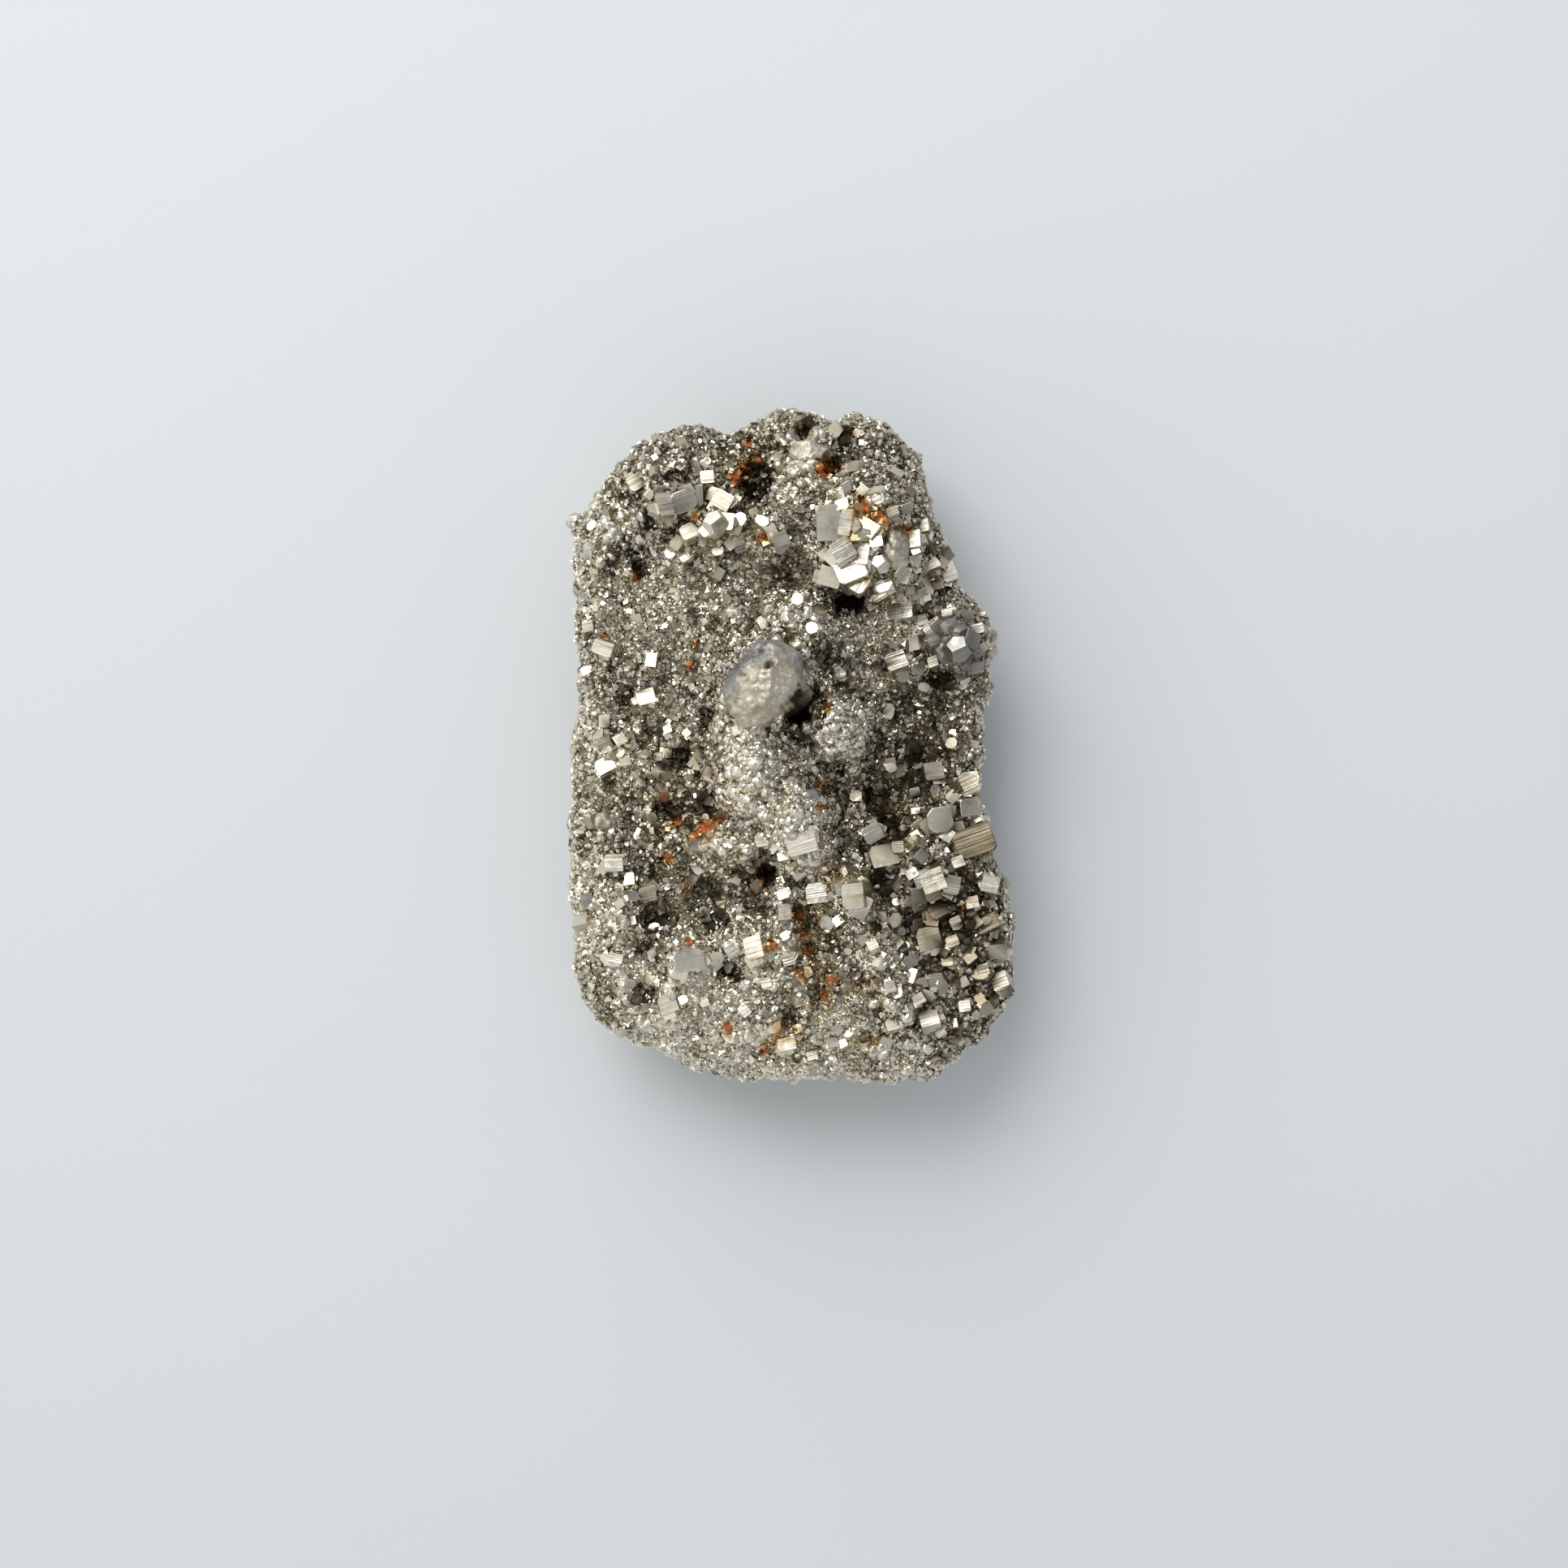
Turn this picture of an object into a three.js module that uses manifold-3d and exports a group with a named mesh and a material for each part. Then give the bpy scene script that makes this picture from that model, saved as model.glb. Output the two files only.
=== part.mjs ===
// Pyrite specimen lying on its back: one intergrown mass with a druse of crystals.
// Millimetres, +Z up, +Y along the long side, origin under the middle of the specimen.

import * as THREE from "three";
import { mergeVertices } from "three/addons/utils/BufferGeometryUtils.js";
import { ConvexGeometry } from "three/addons/geometries/ConvexGeometry.js";
import { SimplexNoise } from "three/addons/math/SimplexNoise.js";
import Module from "manifold-3d";

const wasm = await Module();
wasm.setup();

// Driving dimensions of the mass
const widestLevel = 13;        // height of the widest outline above the base
const widestSway = 2.5;        // how far that height wanders round the mass
const upperFaceLevel = 19;     // general height of the upper face, before its relief
const bodyShare = 0.995;       // share of the outline that the mass fills under its crystals
const rimShare = 0.92;         // the upper face ends at this share of the mass
const footShare = 0.88;        // the base ends at this share of the mass
const footSway = 0.08;         // how far that share wanders round the mass
const edgeDrop = 4.5;          // how far the upper face falls towards its rim
const edgeWidths = { least: 4.5, lowerLeft: 4, topEnd: 3.5 };  // width of that fall, and what is added
const lowerLeftReach = 55;     // x and y together over which the lower left edge widens
const topEndSpan = [24, 36];   // y over which the top edge widens
const rimCalm = 0.7;           // share of the swells that fades out at the rim
const baseSkin = 1.5;          // thickness that the flat base takes off
const wellOutside = 60;        // a distance from the middle that is clear of the mass
const meshDetail = 12;         // subdivisions of the starting ball
const upperShare = 0.6;        // share of the faces spent on the upper face
const baseShare = 0.05;        // share of the faces spent on the base
const bodyStretch = 1.5;       // length of the mass over its width
const shoulderPart = 0.4;      // part of the wall's faces that lie above its widest level
const wallRoughness = 0.25;    // share of the wall's bulges kept at its widest level
const outlineSteps = 480;      // points that the outline is read at
const swayTurns = 1.3;         // how often the widest level rises and falls round the mass
const footTurns = 2.1;         // how often the foot goes in and out round the mass

// The face is measured from straight above, at the widest level. What stands higher is nearer
// the eye and looks further out than it is, so it is drawn in towards the spot under the eye.
const eyeLevel = 328;
const underEye = [-0.7, -4.4];

const pyriteColour = 0xa39d8c;
const pyriteRoughness = 0.34;
const pyriteMetalness = 0.95;

// Outline seen square on to the crystal face, clockwise from the top
const outlineCorners = [
  [-1.2, 37.4], [2.2, 36.7], [4.8, 35.9], [7.7, 37], [10.1, 36], [13, 33.5], [15, 31.8],
  [15.3, 28.4], [16.5, 23.9], [18.2, 21], [18.4, 17.8], [20.7, 15.8], [22.6, 12.7], [22.8, 10.4],
  [22.2, 8.8], [23.2, 6.4], [21.5, 4.2], [21.6, 0.5], [21.4, -3.6], [21.6, -7], [22.5, -11.5],
  [24.2, -14.6], [24.5, -18.2], [25, -22.5], [25, -26], [23.9, -29.4], [21.8, -32.3],
  [19.2, -33.8], [17.9, -36.1], [15.7, -37.6], [9, -37.6], [2.2, -37.7], [-5.3, -37.4],
  [-10.8, -36.3], [-15.3, -34.3], [-19.8, -32.4], [-22.9, -29.2], [-24.2, -25.8], [-24.4, -20.5],
  [-24.8, -15], [-25, -10], [-24.3, -5], [-24.5, -0.5], [-23.8, 4], [-23.9, 10],
  [-24.4, 14.5], [-23.6, 17.4], [-22.8, 18.6], [-24.1, 20], [-25, 22.8], [-23.9, 25.4],
  [-21.7, 27.6], [-20, 29.5], [-18.3, 32.2], [-15, 33.8], [-12.2, 35.3], [-8.6, 35],
  [-7.2, 34.1], [-5.4, 35.3], [-3.8, 36.5],
];

// Broad swells and hollows of the upper face: where, half sizes, height
const swells = [
  { at: [-2.5, -1], half: [9, 18], rise: 5.5 },
  { at: [8, 23.5], half: [11, 11], rise: 5.5 },
  { at: [-10, 26], half: [10, 8], rise: 3.5 },
  { at: [0, -27], half: [24, 12], rise: 2.5 },
  { at: [20, 11], half: [6, 8], rise: 3 },
  { at: [17, -13], half: [8, 9], rise: 2 },
  { at: [-14, 0], half: [9, 12], rise: -2.5 },
  { at: [13.5, 0], half: [8, 9], rise: -4.5 },
  { at: [-9, -17], half: [11, 6], rise: -3.5 },
];

// Rounded lumps: where, half sizes, height of the top, height of the cap
const lumps = [
  { at: [-2.6, 6.8], half: [5.2, 5.6], top: 33, cap: 13 },
  { at: [0.6, 7.6], half: [3, 3.4], top: 30.5, cap: 7 },
  { at: [5, 2], half: [3.8, 3.8], top: 29.5, cap: 9 },
  { at: [1, 14], half: [4.4, 4.2], top: 27, cap: 7 },
  { at: [-4.6, -3], half: [4.2, 5.5], top: 27.5, cap: 7 },
  { at: [0.5, -8], half: [4.2, 4.2], top: 28, cap: 8 },
  { at: [2, -12], half: [3.4, 2.8], top: 25.5, cap: 5 },
  { at: [8.5, 25], half: [7.2, 7.2], top: 28.5, cap: 8 },
  { at: [11.4, 21], half: [3.4, 3.6], top: 27, cap: 5 },
  { at: [6.5, 19.4], half: [3.4, 2.8], top: 26.5, cap: 5 },
  { at: [-8.3, 24.6], half: [3, 2.8], top: 25, cap: 4 },
  { at: [-13.5, 26.8], half: [3, 3], top: 24, cap: 4 },
  { at: [19, 10.5], half: [4.2, 4.2], top: 24, cap: 7 },
  { at: [21, 7], half: [2.6, 2.6], top: 19.5, cap: 4 },
  { at: [-13, 31], half: [6, 4.6], top: 21.5, cap: 6 },
  { at: [9.5, 33], half: [5, 4], top: 20.5, cap: 5 },
  { at: [0, 34.6], half: [4, 2.8], top: 20, cap: 5 },
  { at: [-20.4, 22.6], half: [3.8, 4], top: 20, cap: 6 },
  { at: [-20.8, -8.6], half: [3, 3], top: 20.5, cap: 4 },
  { at: [-4, -22], half: [4, 3.6], top: 24.5, cap: 5 },
  { at: [-3, -28.4], half: [5.6, 5], top: 24, cap: 6 },
  { at: [-11, -25], half: [3.6, 3.4], top: 23, cap: 4 },
  { at: [-18.5, -20.5], half: [4.4, 5.2], top: 20.5, cap: 5 },
  { at: [20.3, -22], half: [4.4, 5.5], top: 20.5, cap: 6 },
  { at: [14.6, -31], half: [5.4, 4.4], top: 20.5, cap: 5 },
];

// Ridges run through these corners, each with its own top
const ridges = [
  { path: [[-2.4, 23, 26], [0.6, 28.5, 26.5], [2.6, 33, 22.5]], halfWidth: 3, cap: 6 },
  { path: [[-13.5, -12.2, 20.5], [-9, -11.6, 22], [-5, -11.4, 24]], halfWidth: 2.6, cap: 4 },
  { path: [[6.6, -15.6, 23.5], [9, -20.5, 24], [12.4, -30, 22]], halfWidth: 2.8, cap: 4.5 },
  { path: [[-1, -16.6, 23], [-0.6, -24, 23.5]], halfWidth: 2, cap: 4 },
];

// Pits: where, half sizes, depth under the surface there
const pits = [
  { at: [0.9, 3.6], half: [2, 1.6], depth: 8 },
  { at: [2.6, 5.4], half: [1.4, 1.3], depth: 5 },
  { at: [2, 0.6], half: [1.2, 1.8], depth: 4 },
  { at: [6.6, 15.9], half: [2.1, 1.4], depth: 5 },
  { at: [-3.8, 29], half: [2.2, 2.7], depth: 5 },
  { at: [4.4, 30.7], half: [1.5, 1.5], depth: 3 },
  { at: [16.4, 7.2], half: [1.7, 1.6], depth: 3 },
  { at: [-2.5, -14.2], half: [1.7, 1.4], depth: 4 },
  { at: [-9.3, -16], half: [2.2, 1.6], depth: 3 },
  { at: [-15, -19.5], half: [1.8, 1.5], depth: 2.8 },
  { at: [-8, -19.6], half: [1.8, 1.4], depth: 2.8 },
  { at: [-16.4, -23], half: [1.2, 1.1], depth: 2 },
  { at: [-6.8, -25], half: [1.4, 1.3], depth: 3 },
  { at: [-16.2, -27.8], half: [1.3, 1.8], depth: 2.2 },
  { at: [-13.5, -7.5], half: [2.2, 1.4], depth: 2.5 },
  { at: [-9, -7.2], half: [1.7, 1.6], depth: 3 },
  { at: [-12, -1.6], half: [1.8, 1.5], depth: 2.2 },
  { at: [-9.4, 3], half: [1.4, 1.7], depth: 2.4 },
  { at: [12, 4], half: [2.2, 1.4], depth: 2.2 },
  { at: [14, -2], half: [1.8, 1.5], depth: 2 },
  { at: [9, -5.6], half: [1.5, 1.7], depth: 2.8 },
  { at: [10.4, -8.8], half: [1.4, 1.3], depth: 2.2 },
  { at: [9.8, -15], half: [1.5, 1.3], depth: 2.6 },
];

// Grooves and cracks are runs of pits from corner to corner
const grooves = [
  { path: [[1.4, -18.6], [2.2, -23], [3, -27.6], [0, -30.4], [-2.4, -33.6]], halfWidth: 1.2, depth: 2.2 },
  { path: [[-16, 24.4], [-17.5, 21.6], [-16.8, 19.3], [-17, 17.4]], halfWidth: 1, depth: 3 },
  { path: [[1.6, 35], [5.4, 32.6]], halfWidth: 1, depth: 2.4 },
];
const grooveStep = 3.4;

// Single crystals by zone: x, y, width, length, turn, lean, form. The turn is about the upright,
// and a positive lean tips the top face towards the upper left corner of the face, in degrees.
const leanTowards = 124;
const leanSpread = 120;        // how far that direction wanders from crystal to crystal
const crystalZones = {
  upperLeft: [
    [-14, 26.3, 1.6, 2.6, 12, 26, "cube"], [-12, 27, 2.8, 2.2, 20, -13, "cut"],
    [-11, 23.4, 2.2, 1.7, 25, 22, "cube"], [-7.6, 26.7, 2, 2.4, -30, 8, "cube"],
    [-5.3, 22.8, 2.2, 2, 15, -32, "cube"], [-8.3, 24.4, 2.6, 2.4, 40, 16, "round"],
    [-17, 29, 1.7, 1.6, 30, 7, "cube"],
  ],
  upperRight: [
    [4.2, 24.6, 2.4, 4, 4, -6, "cube"], [6.4, 24.6, 1.4, 2.6, -10, 29, "cube"],
    [8.6, 23.9, 2.4, 1.6, -35, 22, "cube"], [5.9, 21.5, 2.2, 2.3, 30, -8, "cube"],
    [8.1, 21.2, 1.6, 2.4, -8, 19, "cube"], [6.8, 18.9, 3, 3, 22, 24, "cube"],
    [4.5, 18.8, 2.2, 2, -15, -19, "cube"], [10.3, 17.8, 2.1, 2.1, 15, 16, "cut"],
    [10, 20, 1.9, 1.9, 40, -7, "round"], [14.3, 17.4, 2, 2.4, 28, 27, "cube"],
    [13.7, 22.5, 1.6, 1.9, 5, 24, "cube"], [17.4, 19, 1.7, 2.2, 20, 13, "cube"],
    [12.4, 15, 2.6, 2.4, 6, 32, "cube"],
  ],
  middle: [
    [11.8, 8.9, 2.4, 2.2, 20, 32, "cube"], [16, 12.8, 2, 1.8, 35, 8, "cube"],
    [19, 10.6, 3, 2.6, 25, -7, "round"], [-16, 5, 1.9, 1.7, 15, 22, "cube"],
    [-20.5, 10.6, 2.5, 1.5, -20, 29, "cube"], [-20.4, -2.6, 1.9, 1.7, 30, 26, "cube"],
    [15.8, -3.2, 2, 1.9, 8, 19, "cube"], [16.5, -8.3, 2.6, 2.6, 10, -4, "cut"],
    [19.8, -4.8, 2, 2, 25, 14, "cube"], [19.5, -7, 2, 1.8, 5, -24, "cube"],
    [20.4, -10.8, 4, 3, 20, 6, "cube"], [-4.2, 5.4, 2.8, 3.2, 15, -8, "cut"],
    [-0.6, 6.6, 2.8, 3, -20, 19, "cut"], [-2.8, 9.6, 3.4, 2.4, 8, -22, "cut"],
  ],
  lowerRight: [
    [10.3, -12.8, 2.8, 2.4, 15, 29, "cube"], [9, -9.8, 2, 1.9, 30, -8, "cube"],
    [15.8, -15.2, 2.4, 2.3, 20, 8, "cube"], [17.8, -15.8, 1.6, 2, -12, 22, "cube"],
    [14.1, -17, 1.6, 2.4, 8, -16, "cube"], [16.3, -18.6, 1.9, 1.9, 30, 26, "cube"],
    [15.6, -21.5, 2.4, 2.3, 15, 16, "cube"], [22, -20.2, 2.4, 1.8, 25, 22, "cube"],
    [23, -22.6, 1.8, 1.7, 9, -32, "cube"], [23.4, -26.3, 1.7, 1.8, 20, 19, "cube"],
    [15.5, -30.8, 2, 1.9, 15, 24, "cube"], [7.4, -16.8, 2.4, 2.6, 5, 26, "cube"],
    [3, -16.5, 2.2, 2, 8, 13, "cube"], [22.1, -15.7, 1.8, 1.8, -15, 16, "cube"],
  ],
  lowerLeft: [
    [-13.2, -28.8, 2, 2, 20, 24, "cube"], [-16, -16.2, 1.8, 1.8, 9, -32, "cube"],
    [-19.6, -13.3, 1.9, 1.8, 3, 13, "cube"], [-3.8, -22.7, 1.9, 2.4, 15, 26, "cube"],
    [-11.2, -23.8, 3, 2.2, 8, -8, "cube"], [1.6, -11, 3.2, 2.2, 15, 22, "cube"],
    [-0.4, -33, 1.9, 1.7, 10, 19, "cube"],
  ],
};
const crystalStand = 0.5;       // share of a crystal that stands out of the mass
const crystalThickness = 0.85;  // thickness of a crystal over its narrower side
const widestInset = 0.65;       // crystals at the widest level sit this much deeper

// Crystals of the druse on the walls
const wallCrystals = { count: 34, smallest: 1.8, largest: 3, lowest: 3, highest: 10, lean: 40, seed: 41 };
const wallCrystalLengths = [0.8, 1.1];  // length over width, from and to
const insetReach = 10;                  // height under the widest level where the inset ends

// Roughness of the rock: size of the bumps, their height, and where each pattern starts
const wallBulges = { size: 5.6, height: 3.8, start: 5 };
const coarseBumps = { size: 9, height: 0.5, start: 17 };
const fineBumps = { size: 2.4, height: 0.7, start: 11 };
const wallBumps = { size: 2.4, height: 0.7, start: 23 };
const footStart = 9;
const noiseSeed = 12;

// Steps of this part of a turn spread evenly, however many there are
const goldenPart = 0.618034;

const makeRandom = (seed) => {
  let state = seed;
  return () => {
    state = (state * 1664525 + 1013904223) % 4294967296;
    return state / 4294967296;
  };
};

const noise = new SimplexNoise({ random: makeRandom(noiseSeed) });

// Radius of the outline in any direction
const outlineSamples = new THREE.CatmullRomCurve3(
  outlineCorners.map(([x, y]) => new THREE.Vector3(x, y, 0)), true, "centripetal")
  .getSpacedPoints(outlineSteps)
  .map((point) => ({ angle: Math.atan2(point.y, point.x), radius: Math.hypot(point.x, point.y) }))
  .sort((a, b) => a.angle - b.angle);

const outlineRadius = (angle) => {
  const last = outlineSamples.length - 1;
  let next = outlineSamples.findIndex((sample) => sample.angle >= angle);
  if (next < 1) next = last;
  const a = outlineSamples[next - 1];
  const b = outlineSamples[next];
  const span = b.angle - a.angle;
  const part = span > 1e-6 ? THREE.MathUtils.clamp((angle - a.angle) / span, 0, 1) : 0;
  return THREE.MathUtils.lerp(a.radius, b.radius, part);
};

const trueSpot = ([x, y], level) => {
  const part = (eyeLevel - level) / (eyeLevel - widestLevel);
  return [underEye[0] + part * (x - underEye[0]), underEye[1] + part * (y - underEye[1])];
};

const ellipseDistance = (x, y, at, half) => Math.hypot((x - at[0]) / half[0], (y - at[1]) / half[1]);

const capHeight = (distance, top, cap) => top - cap * (1 - Math.sqrt(1 - distance * distance));

// Nearest place on a path, as its distance and the third value there
const nearestOnPath = (path, x, y) => {
  let best = { distance: Infinity, level: 0 };
  for (let i = 1; i < path.length; i += 1) {
    const [, , aTop] = path[i - 1];
    const [, , bTop] = path[i];
    const [ax, ay] = trueSpot(path[i - 1], aTop);
    const [bx, by] = trueSpot(path[i], bTop);
    const length = Math.hypot(bx - ax, by - ay);
    const along = ((x - ax) * (bx - ax) + (y - ay) * (by - ay)) / (length * length);
    const part = THREE.MathUtils.clamp(along, 0, 1);
    const distance = Math.hypot(x - ax - part * (bx - ax), y - ay - part * (by - ay));
    if (distance < best.distance) best = { distance, level: THREE.MathUtils.lerp(aTop, bTop, part) };
  }
  return best;
};

// Height of the upper face; margin is the distance in from the outline
const upperFace = (x, y, margin) => {
  const lowerLeft = THREE.MathUtils.clamp((-x - y) / lowerLeftReach, 0, 1);
  const topEnd = THREE.MathUtils.smoothstep(y, ...topEndSpan);
  const edgeWidth = edgeWidths.least + edgeWidths.lowerLeft * lowerLeft + edgeWidths.topEnd * topEnd;
  const towardsRim = 1 - Math.min(1, margin / edgeWidth);
  let height = upperFaceLevel - edgeDrop * towardsRim * towardsRim;
  const inside = 1 - rimCalm * towardsRim;
  for (const { at, half, rise } of swells) {
    const distance = ellipseDistance(x, y, trueSpot(at, upperFaceLevel + rise), half);
    if (distance < 1) height += inside * rise * (1 - distance * distance) ** 2;
  }
  for (const { at, half, top, cap } of lumps) {
    const distance = ellipseDistance(x, y, trueSpot(at, top), half);
    if (distance < 1) height = Math.max(height, capHeight(distance, top, cap));
  }
  for (const { path, halfWidth, cap } of ridges) {
    const { distance, level } = nearestOnPath(path, x, y);
    if (distance < halfWidth) height = Math.max(height, capHeight(distance / halfWidth, level, cap));
  }
  return height;
};

const bumps = (point, { size, height, start }) =>
  height * noise.noise3d(point.x / size + start, point.y / size, point.z / size);

// Rounded bulges with creases between them, from 0 in a crease to their height on a bulge
const bulges = (point, { size, height, start }) =>
  height - Math.abs(bumps(point, { size, height, start }));

// Carries a direction from the middle of the starting ball to its place on the mass
const bodyPoint = (direction) => {
  const fromTop = (1 - direction.z) / 2;
  const angle = Math.atan2(direction.y * bodyStretch, direction.x);
  const radius = bodyShare * outlineRadius(angle);
  const unit = new THREE.Vector2(Math.cos(angle), Math.sin(angle));
  const widest = widestLevel + widestSway * noise.noise(swayTurns * unit.x, swayTurns * unit.y);
  const foot = footShare + footSway * noise.noise(footTurns * unit.x + footStart, footTurns * unit.y);
  const facing = (share) => {
    const x = unit.x * radius * share;
    const y = unit.y * radius * share;
    return upperFace(x, y, radius * (1 - share));
  };
  const wallShare = 1 - upperShare - baseShare;
  let share;
  let height;
  let wall = 0;
  if (fromTop < upperShare) {
    share = rimShare * Math.sqrt(fromTop / upperShare);
    height = facing(share);
  } else if (fromTop < 1 - baseShare) {
    const down = (fromTop - upperShare) / wallShare;
    const turn = Math.PI / 2;
    if (down < shoulderPart) {
      const part = turn * down / shoulderPart;
      share = rimShare + (1 - rimShare) * Math.sin(part);
      height = widest + (facing(rimShare) - widest) * Math.cos(part);
    } else {
      const part = turn * (down - shoulderPart) / (1 - shoulderPart);
      share = foot + (1 - foot) * Math.cos(part);
      height = widest - (widest + baseSkin) * Math.sin(part);
      wall = Math.min(1, wallRoughness + Math.sin(part));
    }
  } else {
    share = foot * Math.sqrt((1 - fromTop) / baseShare);
    height = -baseSkin;
    wall = share / foot;
  }
  const point = new THREE.Vector3(unit.x * radius * share, unit.y * radius * share, height);
  const inward = wall * (bulges(point, wallBulges) + bumps(point, wallBumps));
  const above = Math.min(1, point.z + baseSkin);
  point.z += above * (bumps(point, fineBumps) + bumps(point, coarseBumps));
  point.x -= unit.x * inward;
  point.y -= unit.y * inward;
  return point;
};

const ballToBody = () => {
  const ball = new THREE.IcosahedronGeometry(1, meshDetail);
  ball.deleteAttribute("normal");
  ball.deleteAttribute("uv");
  const body = mergeVertices(ball, 1e-5);
  const places = body.getAttribute("position");
  const direction = new THREE.Vector3();
  for (let i = 0; i < places.count; i += 1) {
    const point = bodyPoint(direction.fromBufferAttribute(places, i).normalize());
    places.setXYZ(i, point.x, point.y, point.z);
  }
  body.computeVertexNormals();
  return body;
};

const toSolid = (geometry) => {
  const bare = geometry.clone();
  bare.deleteAttribute("normal");
  bare.deleteAttribute("uv");
  const merged = mergeVertices(bare, 1e-4);
  return new wasm.Manifold(new wasm.Mesh({
    numProp: 3,
    vertProperties: new Float32Array(merged.getAttribute("position").array),
    triVerts: new Uint32Array(merged.index.array),
  }));
};

const toGeometry = (solid) => {
  const mesh = solid.getMesh();
  const geometry = new THREE.BufferGeometry();
  geometry.setAttribute("position", new THREE.BufferAttribute(mesh.vertProperties, 3));
  geometry.setIndex(new THREE.BufferAttribute(mesh.triVerts, 1));
  geometry.computeVertexNormals();
  return geometry;
};

// Crystal forms, each about 1 across
const crystalForms = {
  cube: () => new THREE.BoxGeometry(1, 1, 1),
  // Cube with its corners cut by octahedron faces
  cut: () => {
    const corners = [];
    const far = 0.5;
    const near = 0.22;
    for (const sx of [-1, 1]) {
      for (const sy of [-1, 1]) {
        for (const sz of [-1, 1]) {
          corners.push(new THREE.Vector3(sx * near, sy * far, sz * far));
          corners.push(new THREE.Vector3(sx * far, sy * near, sz * far));
          corners.push(new THREE.Vector3(sx * far, sy * far, sz * near));
        }
      }
    }
    return new ConvexGeometry(corners);
  },
  // Pyritohedron: twelve five-sided faces
  round: () => {
    const corners = [];
    const corner = 0.36;
    const far = corner * 1.5;
    const near = corner * 0.75;
    for (const a of [-1, 1]) {
      for (const b of [-1, 1]) {
        corners.push(new THREE.Vector3(0, a * far, b * near));
        corners.push(new THREE.Vector3(a * near, 0, b * far));
        corners.push(new THREE.Vector3(a * far, b * near, 0));
        corners.push(new THREE.Vector3(a * corner, b * corner, corner));
        corners.push(new THREE.Vector3(a * corner, b * corner, -corner));
      }
    }
    return new ConvexGeometry(corners);
  },
};

const placed = (geometry, place, turn, size) => geometry.applyMatrix4(
  new THREE.Matrix4().compose(place, turn, new THREE.Vector3(...size)));

const bodyGeometry = ballToBody();
const bodySkin = new THREE.Mesh(bodyGeometry, new THREE.MeshBasicMaterial({ side: THREE.DoubleSide }));
const ray = new THREE.Raycaster();

const surfaceAt = (from, towards) => {
  ray.set(from, towards);
  const [hit] = ray.intersectObject(bodySkin);
  return hit ? { point: hit.point, normal: hit.face.normal.clone() } : null;
};

// Where the line of sight through a measured spot meets the surface
const surfaceSeenAt = (x, y) => {
  const eye = new THREE.Vector3(underEye[0], underEye[1], eyeLevel);
  const sight = new THREE.Vector3(x, y, widestLevel).sub(eye).normalize();
  return surfaceAt(eye, sight);
};

// A crystal grows out of the surface, turned about its upright and then leaning towards a side
const growCrystal = (spot, [width, length], form, upright, turn, lean, towards) => {
  const up = new THREE.Vector3(0, 0, 1);
  const spin = new THREE.Quaternion().setFromAxisAngle(up, THREE.MathUtils.degToRad(turn));
  const side = THREE.MathUtils.degToRad(towards + 90);
  const hinge = new THREE.Vector3(Math.cos(side), Math.sin(side), 0);
  const tip = new THREE.Quaternion().setFromAxisAngle(hinge, THREE.MathUtils.degToRad(lean));
  const stand = new THREE.Quaternion().setFromUnitVectors(up, upright);
  const whole = stand.multiply(tip).multiply(spin);
  const thickness = crystalThickness * Math.min(width, length);
  const centre = spot.point.clone().addScaledVector(upright, (crystalStand - 0.5) * thickness);
  return toSolid(placed(crystalForms[form](), centre, whole, [width, length, thickness]));
};

const carvePit = (x, y, [halfWidth, halfLength], depth) => {
  const spot = surfaceSeenAt(x, y);
  const hollow = new THREE.IcosahedronGeometry(1, 0);
  return toSolid(placed(hollow, spot.point, new THREE.Quaternion(), [halfWidth, halfLength, depth]));
};

const withPits = (solid) => {
  let carved = solid;
  for (const { at, half, depth } of pits) carved = carved.subtract(carvePit(at[0], at[1], half, depth));
  for (const { path, halfWidth, depth } of grooves) {
    for (let i = 1; i < path.length; i += 1) {
      const [ax, ay] = path[i - 1];
      const [bx, by] = path[i];
      const steps = Math.max(1, Math.round(Math.hypot(bx - ax, by - ay) / grooveStep));
      for (let step = 0; step < steps; step += 1) {
        const x = THREE.MathUtils.lerp(ax, bx, step / steps);
        const y = THREE.MathUtils.lerp(ay, by, step / steps);
        carved = carved.subtract(carvePit(x, y, [halfWidth, halfWidth * 1.2], depth));
      }
    }
  }
  return carved;
};

const withSingleCrystals = (solid) => {
  const upright = new THREE.Vector3(0, 0, 1);
  let grown = solid;
  for (const [index, crystal] of Object.values(crystalZones).flat().entries()) {
    const [x, y, width, length, turn, lean, form] = crystal;
    const towards = leanTowards + leanSpread * ((index * goldenPart) % 1 - 0.5);
    const spot = surfaceSeenAt(x, y);
    grown = grown.add(growCrystal(spot, [width, length], form, upright, turn, lean, towards));
  }
  return grown;
};

// Crystals on the walls, evenly spread round the mass
const withWallCrystals = (solid) => {
  const { count, smallest, largest, lowest, highest, lean, seed } = wallCrystals;
  const random = makeRandom(seed);
  let grown = solid;
  for (let i = 0; i < count; i += 1) {
    const angle = 2 * Math.PI * ((i * goldenPart) % 1);
    const level = THREE.MathUtils.lerp(lowest, highest, random());
    const width = THREE.MathUtils.lerp(smallest, largest, random() ** 1.5);
    const length = width * THREE.MathUtils.lerp(...wallCrystalLengths, random());
    const outward = new THREE.Vector3(Math.cos(angle), Math.sin(angle), 0);
    const from = outward.clone().multiplyScalar(wellOutside).setZ(level);
    const spot = surfaceAt(from, outward.clone().negate());
    const inset = widestInset * width * Math.max(0, 1 - (widestLevel - level) / insetReach);
    spot.point.addScaledVector(outward, -inset);
    const [turn, tip, towards] = [90 * random(), lean * random(), 360 * random()];
    grown = grown.add(growCrystal(spot, [width, length], "cube", outward, turn, tip, towards));
  }
  return grown;
};

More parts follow.
